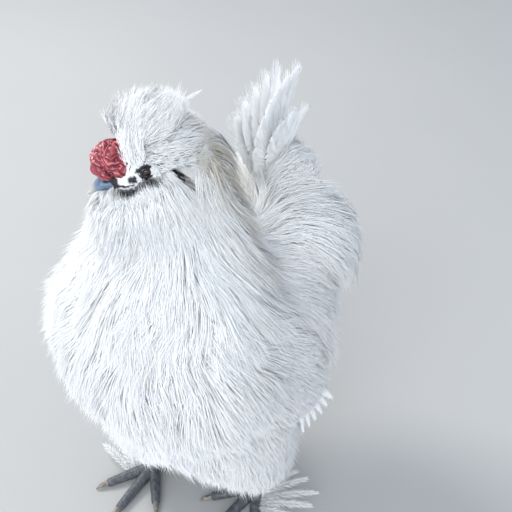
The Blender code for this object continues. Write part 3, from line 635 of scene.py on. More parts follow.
def prisms(spots, side, up, width, roll):
    """Thin closed three-sided strands round lines, from a root ring to a point.

    A ring is the line's point plus and minus the side times half a width, and a keel point
    above it. Side and up are first turned about the line by the roll.
    """
    rings = spots.shape[1] - 1
    widths = (width * np.array(STRAND_WIDTHS[rings]))[..., None]
    c, s = np.cos(roll)[:, None, None], np.sin(roll)[:, None, None]
    across = side[:, :-1] * c + up[:, :-1] * s
    over = up[:, :-1] * c - side[:, :-1] * s
    middle, wide = spots[:, :-1], across * widths
    ring = np.stack([middle - wide, middle + wide, middle + over * widths * KEEL], 2)
    points = np.concatenate([ring.reshape(len(spots), -1, 3), spots[:, -1:]], axis=1)
    k = 3 * np.arange(rings - 1)[:, None, None]
    sides = [[0, 4, 1], [0, 3, 4], [1, 5, 2], [1, 4, 5], [2, 3, 0], [2, 5, 3]]
    sides = np.array(sides)[None] + k
    last = 3 * (rings - 1)
    end, tip = last + 2, last + 3
    ends = np.array([[0, 1, 2], [last + 1, last, tip], [end, last + 1, tip], [last, end, tip]])
    faces = np.concatenate([sides.reshape(-1, 3), ends])
    first = (np.arange(len(spots)) * points.shape[1])[:, None, None]
    return points, faces[None] + first


LOWEST_UP = (-1.0, -1.0, 0.05)


def soften(piece, points, spots, up, share):
    """Shading ways between a strand's own and the coat's: unit(up + share * out of the strand).

    Ways that would point down are made nearly level, as light comes back up from the ground.
    """
    rings = spots.shape[1] - 1
    up = unit(np.maximum(up, LOWEST_UP))
    ring = points[:, :-1].reshape(len(spots), rings, 3, 3)
    ways = unit(up[:, :-1, None] + share * unit(ring - spots[:, :-1, None]))
    ways = np.concatenate([ways.reshape(len(spots), -1, 3), up[:, -1:]], axis=1)
    piece.data.normals_split_custom_set_from_vertices(ways.reshape(-1, 3))


# %% [markdown]
# ## A map for the coat
# When the colours are baked, each tuft needs its own small patch of picture at the place of its
# root, or neighbours would smear. Each skin surface has its own window of one square, and a tuft
# is a patch about 0.003 across at its root's shares of that window.

# %% The coat's own map
WINDOW = 0.21
PATCH = 0.003
WINDOWS = {
    name: (0.02 + 0.25 * (n % 4), 0.02 + 0.25 * (n // 4)) for n, name in enumerate(SURFACES)
}


def bake_map(piece, name, shares, width_share, along):
    """Writes OFBake: the root's place in its window, plus a patch of across and along."""
    corner = np.array(WINDOWS[name]) + WINDOW * shares
    patch = np.stack(np.broadcast_arrays(width_share - 0.5, along - 0.5), -1) * PATCH
    places = (corner[:, None] + patch).reshape(-1, 2)
    corners = np.empty(len(piece.data.loops), np.int32)
    piece.data.loops.foreach_get("vertex_index", corners)
    layer = piece.data.uv_layers.new(name="OFBake")
    layer.data.foreach_set("uv", places[corners].astype(np.float32).ravel())


def coat_piece(name, window, shares, spots, side, up, width, roll, tone, replaced, own=0.8):
    """One joined mesh of strands, with its colours, its map and what it stands for."""
    points, faces = prisms(spots, side, up, width, roll)
    piece = mesh_piece(name, points.reshape(-1, 3), [faces.reshape(-1, 3)], PLUMAGE)
    if own:
        soften(piece, points, spots, up, own)
    rings = spots.shape[1] - 1
    along = np.append(np.repeat(STRAND_SHARES[rings][:-1], 3), 1.0)[None]
    across = np.append(np.tile((0.0, 1.0, 0.5), rings), 0.5)[None]
    set_lock(piece, tone, along, stain(spots[:, 1])[:, None])
    bake_map(piece, window, shares, across, along)
    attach(piece, "root")
    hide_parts(*replaced)
    box = np.round(1000 * np.array([points.min((0, 1)), points.max((0, 1))])).astype(int)
    print(name, len(spots), "strands", faces.size // 3, "triangles", box.tolist())
    return piece


# %% [markdown]
# ## The coat, part by part
# Long soft plumes fall from the hackle and the cushion, the breast and belly are fluff, and the
# crest stands up like a powder puff. Each part has its own size of feather and its own lie, given
# as outwards, forwards and up from the middle of the part.

# %% Kinds of feather
# length, spread, strand width, rise, stand, droop, fluff, wisp
KINDS = {
    "breast": (0.036, 0.0046, 0.00029, 0.0118, 0.00, 0.10, 0.0030, 0.0024),
    "hackle": (0.048, 0.0034, 0.00026, 0.0118, 0.00, 0.15, 0.0022, 0.0018),
    "plume": (0.060, 0.0042, 0.00028, 0.0135, 0.35, 0.75, 0.0030, 0.0026),
    "thigh": (0.030, 0.0040, 0.00029, 0.0100, 0.05, 0.20, 0.0030, 0.0026),
    "wing": (0.037, 0.0046, 0.00029, 0.0055, 0.00, 0.05, 0.0014, 0.0014),
    "crest": (0.0175, 0.0020, 0.00020, 0.0098, 0.74, 0.02, 0.0014, 0.0014),
    "forelock": (0.0180, 0.0024, 0.00019, 0.0110, 0.45, 0.00, 0.0014, 0.0014),
    "spike": (0.0200, 0.0006, 0.00016, 0.0160, 0.84, 0.00, 0.0004, 0.0007),
    "brow": (0.0120, 0.0016, 0.00017, 0.0036, 0.12, 0.00, 0.0010, 0.0010),
    "beard": (0.027, 0.0028, 0.00022, 0.0090, 0.00, 0.15, 0.0018, 0.0014),
    "chin": (0.027, 0.0028, 0.00022, 0.0125, 0.12, 0.20, 0.0020, 0.0016),
    "lore": (0.0075, 0.0012, 0.00014, 0.0018, 0.00, 0.00, 0.0005, 0.0006),
    "cheek": (0.0120, 0.0016, 0.00016, 0.0030, 0.02, 0.10, 0.0010, 0.0010),
    "tail_fluff": (0.034, 0.0040, 0.00028, 0.0120, 0.45, 0.15, 0.0026, 0.0026),
}


def local_of(points):
    """(left, forward, up) of points in the frame."""
    return (points - SHIFT) * (1.0, -1.0, 1.0)


def head_local(points):
    """(left, forward, up) of points in the head's own frame."""
    return ((points - HEAD) @ HEAD_SPIN) * (1.0, -1.0, 1.0)


# middle, half sizes and lean of each bare part, in the head's own frame
BARE = {
    "slit": ((0.0200, 0.0024, 0.0036), (0.0170, 0.0068, 0.0029), 0.30),
    "lores": ((0.0160, 0.0098, -0.0026), (0.0140, 0.0034, 0.0034), 0.0),
    "gape": ((0.0140, 0.0150, -0.0064), (0.0140, 0.0062, 0.0010), 0.0),
    "lobe": ((0.0220, -0.0172, -0.0048), (0.0120, 0.0016, 0.0046), 0.0),
    "comb": ((0.0000, 0.0190, 0.0065), (0.0200, 0.0142, 0.0128), 0.0),
}
OPENING, OPEN_FROM = 0.54, 0.012


def bare(points, *parts):
    """How far points are off the bare parts named, or off all of them: below 1 is inside.

    Each is an egg. The slit's egg leans back and up, and all open upwards beyond 12 mm from the
    middle, because the feathers part more widely the further out they are.
    """
    here = head_local(points)
    here[..., 0] = np.abs(here[..., 0])
    far = []
    for centre, half, back in (BARE[part] for part in parts or BARE):
        off = here - centre
        off[..., 2] += back * off[..., 1] - OPENING * np.maximum(here[..., 0] - OPEN_FROM, 0.0)
        far.append(np.linalg.norm(off / half, axis=-1))
    return np.min(far, axis=0)


# strands stay within the solids' box and this share of its size on each side
MARGIN = 0.028
cad_low, cad_high = np.array(cad_box)
ROOM = np.array([cad_low, cad_high]) + np.array([[-MARGIN], [MARGIN]]) * (cad_high - cad_low)
ROOM[0, 2] = -1.0
WING_HOLD, WING_REACH = 0.65, (0.035, 0.055, 0.075)


def flatness(points):
    """The wings hold the flank's coat down: 0.35 there and 1 elsewhere."""
    here = local_of(points)
    here[..., 0] = np.abs(here[..., 0])
    far = np.linalg.norm((here - WING[0][0]) / WING_REACH, axis=-1)
    return (1.0 - WING_HOLD * np.exp(-(far**4)))[..., None]


def lie_field(roots, middle, lie, spin, draw, stray):
    """The way each feather sets out: outwards on its own side, forwards and up, and a slow
    wander over the coat so that neighbours part and cross as real ones do."""
    outward, forward, up = lie
    share = np.clip(((roots - middle) @ spin)[:, 0] / 0.02, -1.0, 1.0)
    slow = 0.26 * waves(roots, 0.045, 11) + 0.16 * waves(roots, 0.016, 12)
    wander = slow + draw.normal(size=len(roots)) * 0.07
    flat = 0.0 * share
    local = at(np.stack([outward * share + stray * wander, forward + flat, up + flat], -1))
    return local @ spin.T


def grow(name, kind, surface, count, strands, lie, where, owner, seed, spin=NO_SPIN, rings=2):
    """Grows one coat piece on the part of a skin surface that belongs to its owner."""
    draw = np.random.default_rng(seed)
    length, spread, width, rise, stand, droop, fluff, wisp = KINDS[kind]
    grid = SURFACES[surface]
    others = sum((forms for key, forms in FLESH.items() if key != owner), [])

    def weight(points):
        own = clearance(points, FLESH[owner])[0] < OWN_SKIN
        return where(points) * own * (clearance(points, others)[0] > OTHER_SKIN)

    roots, shares = scatter(grid, count, weight, draw)
    _, facing = clearance(roots, ALL_FLESH)
    stray = min(length / KINDS["breast"][0], 1.0)
    way = lie_field(roots, FLESH[owner][0][0], lie, spin, draw, stray)
    way = unit(way - facing * dot(way, facing))
    way = unit(way * (1.0 - 0.6 * stand) + facing * stand)
    size = draw.uniform(SHORTEST, LONGEST, (count, 1))
    rise = rise * size * flatness(roots)
    line, ups = follow(roots, way, length * size, rise, stand, droop, ALL_FLESH)
    spots, side, up = fan(line, ups, strands, spread * size, fluff, wisp, rings, draw)
    tone = 0.6 * np.repeat(draw.random((count, 1)), strands, axis=0)
    tone = tone + 0.4 * draw.random((len(spots), 1))
    shares = np.repeat(shares, strands, axis=0)
    clear = (bare(along_line(spots, np.linspace(0.1, 1.0, 8)[None])) > 1.0).all(-1)
    clear = clear & (spots > ROOM[0]).all((1, 2)) & (spots < ROOM[1]).all((1, 2))
    spots, side, up, tone, shares = (part[clear] for part in (spots, side, up, tone, shares))
    spots[..., 2] = np.maximum(spots[..., 2], FLOOR_GAP)
    width = width * draw.uniform(0.7, 1.25, (len(spots), 1))
    roll = draw.uniform(-0.9, 0.9, len(spots))
    return coat_piece(name, surface, shares, spots, side, up, width, roll, tone, [owner])


def everywhere(_):
    """A weight of 1 at every place."""
    return 1.0


# %% Trunk
BODY_LIE = (0.12, -0.45, -0.88)


def between(low, high, part=1):
    """A weight of 1 where the chosen part of (left, forward, up) is from low to high."""

    def weight(points):
        value = local_of(points)[..., part]
        return ((value >= low) & (value < high)) * 1.0

    return weight


TRUNK = (
    ("coat_breast", 1600, between(0.015, 0.2)),
    ("coat_flanks", 1350, between(-0.055, 0.015)),
    ("coat_rump", 750, between(-0.2, -0.055)),
)
for seed, (name, count, where) in enumerate(TRUNK, 21):
    grow(name, "breast", "torso", count, 10, BODY_LIE, where, "torso", seed)

# %% Neck and cushion
NECK_LIE = (0.10, -0.10, -1.00)
SADDLE_LIE = (0.42, -0.85, 0.10)
BACK_LIE = (0.12, -0.40, -1.00)
PLUMES = (
    ("hackle_front", "hackle", "neck", 950, 10, NECK_LIE, between(0.0, 0.2), "neck"),
    ("hackle_back", "hackle", "neck", 700, 10, BACK_LIE, between(-0.2, 0.0), "neck"),
    ("cushion_left", "plume", "torso", 520, 10, SADDLE_LIE, between(0.0, 0.2, 0), "saddle"),
    ("cushion_right", "plume", "torso", 520, 10, SADDLE_LIE, between(-0.2, 0.0, 0), "saddle"),
)
for seed, row in enumerate(PLUMES, 31):
    grow(*row, seed, rings=3)

# %% Legs, wings and tail base
THIGH_LIE, WING_LIE, TAIL_LIE = (0.10, -0.12, -1.00), (0.05, -0.66, -0.75), (0.20, -0.40, 0.60)
for seed, (word, side) in enumerate(SIDES.items()):
    thigh, wing = f"thigh_{word}", f"wing_{word}"
    grow(f"coat_{thigh}", "thigh", thigh, 480, 9, THIGH_LIE, everywhere, thigh, 41 + seed)
    grow(f"coat_{wing}", "wing", wing, 330, 10, WING_LIE, everywhere, wing, 43 + seed)
grow("coat_tail", "tail_fluff", "tail", 300, 8, TAIL_LIE, everywhere, "tail", 45)

# %% Crest, beard and cheeks
BARE_EDGE = 1.05


def part_of_head(low, high, part=1, slope=0.0):
    """A weight of 1 where a part of the head's own (left, forward, up) is from low to high."""

    def weight(points):
        here = head_local(points)
        value = here[..., part] + slope * here[..., 1]
        return ((value >= low) & (value < high) & (bare(points) > BARE_EDGE)) * 1.0

    return weight


def cheek_weight(points):
    """Weight of the face's small feathers: behind the eye, and below the slit and the gape."""
    here = head_local(points)
    low = here[..., 2] < -0.0062 + 0.6 * np.clip(0.012 - here[..., 1], 0.0, 0.009)
    return ((bare(points) > 1.0) & (low | (here[..., 1] < -0.006))) * 1.0


def lore_weight(points):
    """Weight of the short feathers between the comb and the eye."""
    here = head_local(points)
    return ((bare(points) > 1.0) & (here[..., 1] > 0.0075) & (here[..., 2] > -0.002)) * 1.0


HIGH, LOW = part_of_head(0.0185, 1.0, 2, 0.10), part_of_head(-1.0, 0.0215, 2, 0.10)
FRONT, CHIN = part_of_head(0.000, 1.0), part_of_head(0.010, 1.0)
BEHIND, BACK = part_of_head(-1.0, 0.018), part_of_head(-0.045, -0.012)
# name, kind, surface and owner, feathers, strands in each, lie, where, seed
HEAD_COAT = (
    ("crest", "crest", "crest", 1250, 9, (0.30, -0.25, 0.45), HIGH, 51),
    ("crest_front", "forelock", "crest", 420, 9, (0.25, 0.00, 0.95), FRONT, 55),
    ("crest_spikes", "spike", "crest", 110, 6, (0.30, -0.30, 0.60), HIGH, 56),
    ("brow", "brow", "crest", 620, 8, (0.30, -0.85, 0.10), LOW, 54),
    ("beard", "beard", "beard", 950, 9, (0.15, -0.35, -1.00), BEHIND, 52),
    ("chin", "chin", "beard", 420, 9, (0.20, 0.30, -1.00), CHIN, 57),
    ("nape", "beard", "neck", 420, 8, (0.15, -0.55, -0.80), BACK, 58),
    ("lores", "lore", "head", 600, 6, (0.10, -0.25, -0.85), lore_weight, 59),
    ("cheeks", "cheek", "head", 1100, 6, (0.05, -0.80, -0.60), cheek_weight, 53),
)
for name, kind, owner, count, strands, lie, where, seed in HEAD_COAT:
    grow(f"coat_{name}", kind, owner, count, strands, lie, where, owner, seed, HEAD_SPIN)

# %% [markdown]
# ## Tail, wing and foot feathers
# Even the large feathers are soft: the shaft is stiff at its root, and the barbs hang from it
# loose and wavy. Each feather is a shaft along the same line as its solid vane, with strands for
# barbs that leave it at about 55 degrees near the root and about 22 near the tip.

# %% Vanes
TAIL_TIERS = (
    ((-36, 0.20, 0.64), (-26, 0.17, 0.70), (-15, 0.14, 0.76), (-4, 0.12, 0.84), (6, 0.10, 0.92)),
    ((-24, 0.30, 0.72), (-8, 0.30, 0.78), (8, 0.30, 0.80)),
)
TAIL_LENGTHS, TAIL_HALVES = (0.080, 0.058), (0.0150, 0.0125)
TAIL_LEAN, TAIL_ROOT, TAIL_BEND = -0.15, 0.72, math.radians(-46)
STRAY = ((0.0040, -0.0225, 0.0365), (0.0060, -0.0398, 0.0437))


def bent_lines(starts, ways, lengths, bend, axes, steps=12):
    """Lines that turn by an equal share of their bend about their axis at every step.

    One step turns a way w about the axis k by a: w cos a + (k x w) sin a + k (k . w)(1 - cos a).
    """
    c, s = math.cos(bend / steps), math.sin(bend / steps)
    points, way = [starts], ways
    for _ in range(steps):
        points.append(points[-1] + way * lengths / steps)
        way = way * c + np.cross(axes, way) * s + axes * dot(axes, way) * (1.0 - c)
    return np.stack(points, 1)


def vane_width(t):
    """Share of a vane's half width along it: (sin(pi (0.10 + 0.87 t^0.8)))^0.7."""
    return np.sin(math.pi * (0.10 + 0.87 * np.clip(t, 0.0, 1.0) ** 0.8)) ** 0.7


def blade_piece(name, lines, facing, half, seed, replaced, thick=0.00030):
    """Soft flat blades under the barbs, with notched edges.

    Across a blade the section is w cos v sideways and thick sin v up, and it is cupped by
    0.25 w cos^2 v. The edge w is narrowed by small waves and a few notches.
    """
    draw = np.random.default_rng(seed)
    t, v = np.linspace(0.0, 1.0, 60)[:, None], turns(24)[None]
    grids = []
    for line, face, wide in zip(lines, facing, np.broadcast_to(half, (len(lines), 1))):
        spot = along_line(line[None], t.T)[0]
        way = unit(np.gradient(spot, axis=0))
        up = unit(face - way * dot(way, face))
        across = np.cross(way, up)
        edge = 0.80 * wide * vane_width(t)
        for hand in (1.0, -1.0):
            notch = draw.uniform(0.35, 0.9, 3)
            cut = np.exp(-(((t - notch) / 0.02) ** 2)).sum(1, keepdims=True) * 0.22
            wavy = 0.05 * np.sin(t * draw.uniform(20, 40) + draw.uniform(0, 6))
            edge = edge * (1.0 - (cut + wavy) * (np.sign(np.cos(v)) == hand))
        grids.append(
            spot[:, None]
            + across[:, None] * (edge * np.cos(v))[..., None]
            + up[:, None] * (thick * np.sin(v) - 0.25 * edge * np.cos(v) ** 2)[..., None]
        )
    piece = closed_piece(name, grids, PLUMAGE)
    points = np.concatenate([ball_points(grid) for grid in grids])
    set_lock(piece, 0.3, 0.7, stain(points))
    return dress(piece, "plumage", *replaced)


def vane_piece(name, window, line, facing, half, barbs, width, seed, replaced, loose=0.25):
    """Feathers with a shaft and loose barbs: line and facing are one row a feather.

    A barb from share t leaves at b = 55 - 33 t degrees, times 0.75 to 1.2 by chance. It is
    0.6 to 0.95 of w(t) / sin b long, and no longer than what is left of the shaft and 3 mm.
    """
    draw = np.random.default_rng(seed)
    many = len(line)
    t = (np.arange(barbs) + draw.random((many, barbs))) / barbs
    hand = np.where(np.arange(barbs) % 2 == 0, 1.0, -1.0) * np.ones((many, 1))
    t, hand = t.reshape(-1, 1), hand.reshape(-1, 1)
    whole, line = line, np.repeat(line, barbs, axis=0)
    facing = np.repeat(facing, barbs, axis=0)
    spot = along_line(line, t)
    way = unit(along_line(line, t + 0.02) - along_line(line, t - 0.02))[:, 0]
    up = unit(facing - way * dot(facing, way))
    across = np.cross(way, up) * hand
    angle = np.radians(55.0 - 33.0 * t) * draw.uniform(0.75, 1.2, t.shape)
    wide = np.repeat(np.broadcast_to(half, (many, 1)), barbs, axis=0) * vane_width(t)
    shaft = np.linalg.norm(np.diff(whole, axis=1), axis=-1).sum(1)
    left = (1.0 - t) * np.repeat(shaft, barbs)[:, None]
    long = np.minimum(wide / np.sin(angle) * draw.uniform(0.6, 0.95, t.shape), left + 0.003)
    share = np.array(STRAND_SHARES[3])[None, :, None]
    out = across * np.sin(angle) + way * np.cos(angle)
    spots = spot + out[:, None] * share * long[:, None]
    loft, lag = draw.normal(size=(2, len(t), 1, 1)) * loose * long[:, None] * share**2
    over = np.where(draw.random(t.shape) < 0.5, 0.0003, -0.0003)[:, None]
    cup = 0.20 * np.sin(angle)[:, None] ** 2 * long[:, None] * share**2
    spots = spots + up[:, None] * (over + 0.4 * loft - cup)
    spots = spots + way[:, None] * (0.6 * lag + 0.20 * long[:, None] * share**2)
    side = np.repeat(unit(np.cross(out, up))[:, None], 4, axis=1)
    ups = np.repeat(up[:, None], 4, axis=1)
    shares = np.concatenate([np.repeat(np.arange(many) + 0.5, barbs)[:, None] / many, t], axis=1)
    tone = draw.random((len(t), 1))
    roll = draw.uniform(-0.7, 0.7, len(t))
    widths = width * draw.uniform(0.7, 1.2, t.shape)
    spots[..., 2] = np.maximum(spots[..., 2], FLOOR_GAP)
    return coat_piece(name, window, shares, spots, side, ups, widths, roll, tone, replaced, 0.0)


def tail_lines():
    """Start, way, length, half width and side of each tail vane, as in the solid."""
    middle, half = FLESH["tail"][0][0], FLESH["tail"][0][2] * TAIL_ROOT
    rows = [
        (angle, side * splay + TAIL_LEAN, share * length, half_width, side)
        for tier, length, half_width in zip(TAIL_TIERS, TAIL_LENGTHS, TAIL_HALVES)
        for angle, splay, share in tier
        for side in (1.0, -1.0)
    ]
    angle, left, long, halves, side = np.array(rows).T[..., None]
    angle = np.radians(angle)
    way = unit(at(np.concatenate([left, -np.sin(angle), np.cos(angle)], axis=1)))
    return middle + way * half, way, long, halves, side


starts, ways, lengths, halves, hands = tail_lines()
sideways = np.repeat(np.array([[1.0, 0.0, 0.0]]), len(starts), axis=0)
tail_line = bent_lines(starts, ways, lengths, TAIL_BEND, sideways)
stray_line = on_head(np.linspace(*STRAY, 13))[None]
stray_face = np.array([[0.4, -0.3, 0.85]])
crest, tail = ["crest"], ["tail"]
vane_piece("crest_stray", "crest", stray_line, stray_face, 0.0021, 70, 0.00013, 66, crest, 0.12)
blade_piece("tail_blades", tail_line, sideways * hands, halves, 60, tail)
vane_piece("tail_vanes", "tail", tail_line, sideways * hands, halves, 140, 0.00018, 61, tail, 0.05)


FLIGHT_LENGTH, FLIGHT_BEND = 0.046, math.radians(-8)


def wing_lines(side):
    """Start, way and facing of a wing's flight vanes, as in the solid."""
    angles, tilt = np.radians((-34, -27, -20, -13, -6, 1)), WING_TILT
    along = np.stack([0.0 * angles, np.sin(tilt + angles), -np.cos(tilt + angles)], -1)
    root = SHIFT + at((WING[0][0][0] * side, *WING[0][0][1:]))
    root = root + np.array((0.0, math.sin(tilt), -math.cos(tilt))) * WING[0][1][2] * 0.30
    step = np.arange(len(angles))[:, None] * 0.0012
    outward = np.array((side, 0.0, 0.0))
    way = unit(along + outward * 0.10)
    start = root + way * 0.012 + outward * (step + 0.002)
    return start, way, np.repeat(outward[None], len(angles), axis=0)


for word, side in SIDES.items():
    starts, ways, facing = wing_lines(side)
    line = bent_lines(starts, ways, FLIGHT_LENGTH, FLIGHT_BEND, facing * side)
    wing = f"wing_{word}"
    blade_piece(f"flight_blades_{word}", line, facing, 0.0050, 62, [wing])
    vane_piece(f"flight_{word}", wing, line, facing, 0.0056, 100, 0.00018, 63, [wing], 0.12)


# %% Foot feathers
def toe_way(word, angle):
    """A way on the floor, so many degrees out from forward."""
    turn = np.radians(angle)
    return at(np.stack([np.sin(turn) * SIDES[word], np.cos(turn), 0.0 * turn], -1))


FOOT_BEND = math.radians(-16)
FOOT_ANGLES = np.array((104.0, 118.0, 131.0, 143.0, 155.0, 168.0))


def foot_lines(word):
    """Start, way, length and bend axis of the feathers on a foot, as in the solid."""
    number = np.arange(len(FOOT_ANGLES))
    share = np.linspace(1.0, 0.0, len(number))[:, None]
    start = SHIFT + at((*FEET[word], 0.0060)) + toe_way(word, 36.0) * 0.022 * share
    rise = np.where(number % 2 == 0, 0.16, 0.21)[:, None]
    way = unit(toe_way(word, FOOT_ANGLES) + rise * (0.0, 0.0, 1.0))
    long = 0.050 * (1.0 - 0.12 * np.abs(number - 2))[:, None]
    return start, way, long, unit(np.cross(way, (0.0, 0.0, 1.0)))


for word in SIDES:
    starts, ways, long, axes = foot_lines(word)
    line = bent_lines(starts, ways, long, FOOT_BEND, axes)
    upward = np.repeat(np.array([[0.0, 0.0, 1.0]]), len(starts), axis=0)
    name, thigh, foot = f"foot_vanes_{word}", f"thigh_{word}", [f"foot_{word}"]
    vane_piece(name, thigh, line, upward, 0.0056, 130, 0.00020, 65, foot, 0.32)

# %% [markdown]
# ## The head
# The face is the smallest and most looked-at part. Its skin is dark purple-black and creased,
# the lids close as folded rings round a black eye, the walnut comb is a crimson cushion with fine
# brain-like folds, and the short bill is slate blue with a paler horn tip.

# %% Head paints


def face_paint():
    """Dark skin, which turns as pale and dull as down where its lock's stain is 1."""
    paint = Paint("face_skin", Roughness=0.45, Specular_IOR_Level=0.45, Coat_Weight=0.08)
    dark = paint.cloud(420.0, 4.0, (0.014, 0.012, 0.016, 1), (0.048, 0.030, 0.038, 1))
    downy = paint.mark("Z")
    paint.feed("Base Color", paint.mix(downy, dark, (0.86, 0.87, 0.88, 1)))
    paint.feed("Roughness", 0.45 + downy * 0.4)
    paint.grain(1800.0, 0.0002, 0.6)
    return paint.material


def comb_paint():
    """Crimson, with painted shade in the folds and painted highlights on their backs."""
    gloss = {"Coat_Weight": 0.35, "Coat_Roughness": 0.22}
    paint = Paint("comb_skin", Roughness=0.36, **gloss, Subsurface_Weight=0.10)
    paint.shader.inputs["Subsurface Radius"].default_value = (0.004, 0.0012, 0.0008)
    paint.shader.inputs["Subsurface Scale"].default_value = 0.4
    raised = paint.mark("Y")
    cloud = paint.noise(260.0, 4.0).between(0.35, 0.7)
    red = paint.mix(cloud, (0.30, 0.028, 0.045, 1), (0.42, 0.060, 0.080, 1))
    # painted shade: a darker red where the folds sink
    fold_shaded_red = paint.mix(raised.between(0.0, 0.45), (0.13, 0.010, 0.020, 1), red)
    # painted highlight: pale pink on the backs of the folds
    fold_highlight = raised.between(0.6, 0.95) * 0.6
    paint.feed("Base Color", paint.mix(fold_highlight, fold_shaded_red, (0.72, 0.26, 0.28, 1)))
    paint.grain(1500.0, 0.0002, 0.5)
    return paint.material


def bill_paint():
    """Slate blue with a horn-coloured tip, and painted shade where the lock marks gape and
    nostrils.
    """
    paint = Paint("bill_horn", Roughness=0.36, Specular_IOR_Level=0.5, Coat_Weight=0.15)
    slate = paint.cloud(500.0, 3.0, (0.085, 0.135, 0.215, 1), (0.130, 0.195, 0.300, 1))
    tipped = paint.mix(paint.mark("Y").between(0.60, 0.98), slate, (0.55, 0.52, 0.42, 1))
    # the lock's third part paints shade in the nostrils and along the gape, and paints the lower
    # half half dark
    paint.feed("Base Color", paint.mix(paint.mark("Z"), tipped, (0.015, 0.014, 0.017, 1)))
    paint.grain(900.0, 0.0001, 0.4)
    return paint.material


# two colours, waves a metre, grain height and roughness
PLAIN = {
    "eye_wet": ((0.004, 0.004, 0.005, 1), (0.020, 0.010, 0.006, 1), 300.0, 0.00001, 0.06),
    # the lobes' dark skin, also used for the painted shadow tube behind them
    "lobe_skin_and_shadow": ((0.016, 0.014, 0.020, 1), (0.080, 0.066, 0.080, 1), 500.0, 0.0003, 0.5),
    "foot_scutes": ((0.055, 0.062, 0.075, 1), (0.120, 0.125, 0.135, 1), 300.0, 0.0003, 0.5),
    "claw_horn": ((0.10, 0.09, 0.08, 1), (0.30, 0.27, 0.23, 1), 400.0, 0.0001, 0.35),
}


def plain_paint(name, **constants):
    """Two close colours in clouds, with a fine grain."""
    one, two, scale, height, dullness = PLAIN[name]
    paint = Paint(name, Roughness=dullness, **constants)
    paint.feed("Base Color", paint.cloud(scale, 4.0, one, two))
    paint.grain(scale * 5.0, height, 0.5)
    return paint.material


FACE, COMB_RED, BILL = face_paint(), comb_paint(), bill_paint()
EYE = plain_paint("eye_wet", Coat_Weight=1.0, Coat_Roughness=0.02)
LOBE, FOOT, CLAW = (plain_paint(name) for name in ("lobe_skin_and_shadow", "foot_scutes", "claw_horn"))


# %% One skin
VOXEL = 0.0020


def skin_piece():
    """The down-covered skin: all surfaces joined into one closed one, with the coat's stains."""
    names = [name for name in SURFACES if name != "head"]
    piece = closed_piece("skin", [SURFACES[name] for name in names], PLUMAGE)
    one = piece.modifiers.new("one_surface", "REMESH")
    one.mode, one.voxel_size, one.use_smooth_shade = "VOXEL", VOXEL, True
    made = piece.evaluated_get(bpy.context.evaluated_depsgraph_get())
    mesh = bpy.data.meshes.new_from_object(made)
    piece.modifiers.clear()
    piece.data = mesh
    points = np.empty((len(mesh.vertices), 3), np.float32)
    mesh.vertices.foreach_get("co", points.ravel())
    tone = np.where(bare(points, "slit") < 0.8, -1.0, 0.6)
    set_lock(piece, tone, 0.55, stain(points))
    return dress(piece, "plumage", *[name for name in FLESH if name != "head"])


skin_piece()


# %% Face
EYE_OUT = {side: unit(np.array((side, -0.28, 0.06))) for side in (1, -1)}
WRINKLE, WRINKLE_LENGTH = 0.00022, 0.0024
LID_FOLD, LID_FOLD_LENGTH, LID_FAR, LID_BAND = 0.00035, 0.0019, 0.0085, 0.003
DOWN_EDGE, DOWN_FADE, DOWN_FRONT = 0.74, 0.2, 0.0185


def eye_frame(side):
    """Middle of an eye and its ways out, along the slit and up, as (left, forward, up)."""
    middle = np.array(EYE_PLACE) * (side, 1.0, 1.0)
    out = EYE_OUT[side]
    up = unit(np.array((0.0, 0.0, 1.0)) - out * out[2])
    return middle, out, np.cross(out, up) * side, up


def face_piece():
    """The skull's surface with creases: rings about the eyes, fine wrinkles elsewhere. It is
    painted dark where it is bare and as white down where small feathers cover it."""
    grid = SURFACES["head"]
    middle = grid.reshape(-1, 3).mean(0)
    out = unit(grid - middle)
    here = head_local(grid)
    rise = WRINKLE * (1.0 - 2.0 * np.abs(waves(here * (1.0, 1.0, 1.6), WRINKLE_LENGTH, 7)))
    for side in (1, -1):
        far = np.linalg.norm(here - eye_frame(side)[0], axis=-1)
        ring = np.exp(-(((far - LID_FAR) / LID_BAND) ** 2))
        rise = rise + LID_FOLD * ring * np.cos(2.0 * math.pi * far / LID_FOLD_LENGTH)
    piece = closed_piece("face", [grid + out * rise[..., None]], FACE)
    points = ball_points(grid)
    spots = head_local(points)
    off = bare(points - (0.0, 0.0, 0.0007), "slit", "lores", "gape", "lobe")
    off = off + 0.12 * waves(spots, 0.0030, 9)
    downy = np.clip((off - DOWN_EDGE) / DOWN_FADE, 0.0, 1.0) * (spots[..., 1] < DOWN_FRONT)
    set_lock(piece, 0.6, 0.5, downy)
    return dress(piece, "face_skin", "head")


face_piece()


def ring_grid(side, wide, high, away, thick, seed):
    """A closed ring on the eyeball: turn u runs round the slit, v round the fold's section."""
    middle, out, along, up = eye_frame(side)
    u, v = turns(72)[:, None], turns(14)[None]
    draw = np.random.default_rng(seed)
    wrinkle = 1.0 + 0.10 * np.sin(9 * u + draw.uniform(0, 6))
    wrinkle = wrinkle + 0.06 * np.sin(17 * u + draw.uniform(0, 6))
    pinch = 1.0 - 0.25 * np.cos(2.0 * u)
    tall = high * np.sin(u) * np.abs(np.sin(u)) ** 0.25
    ring = along * (wide * np.cos(u))[..., None] + up * tall[..., None]
    flat = np.linalg.norm(ring, axis=-1, keepdims=True)
    depth = np.sqrt(np.maximum(EYE_RADIUS**2 - flat**2, 0.0)) + away
    outer = unit(ring)
    centre = middle + ring + out * depth
    sideways = outer * (thick * 1.25 * np.cos(v) * wrinkle * pinch)[..., None]
    section = sideways + out * (thick * 0.8 * np.sin(v) * wrinkle)[..., None]
    return centre + section


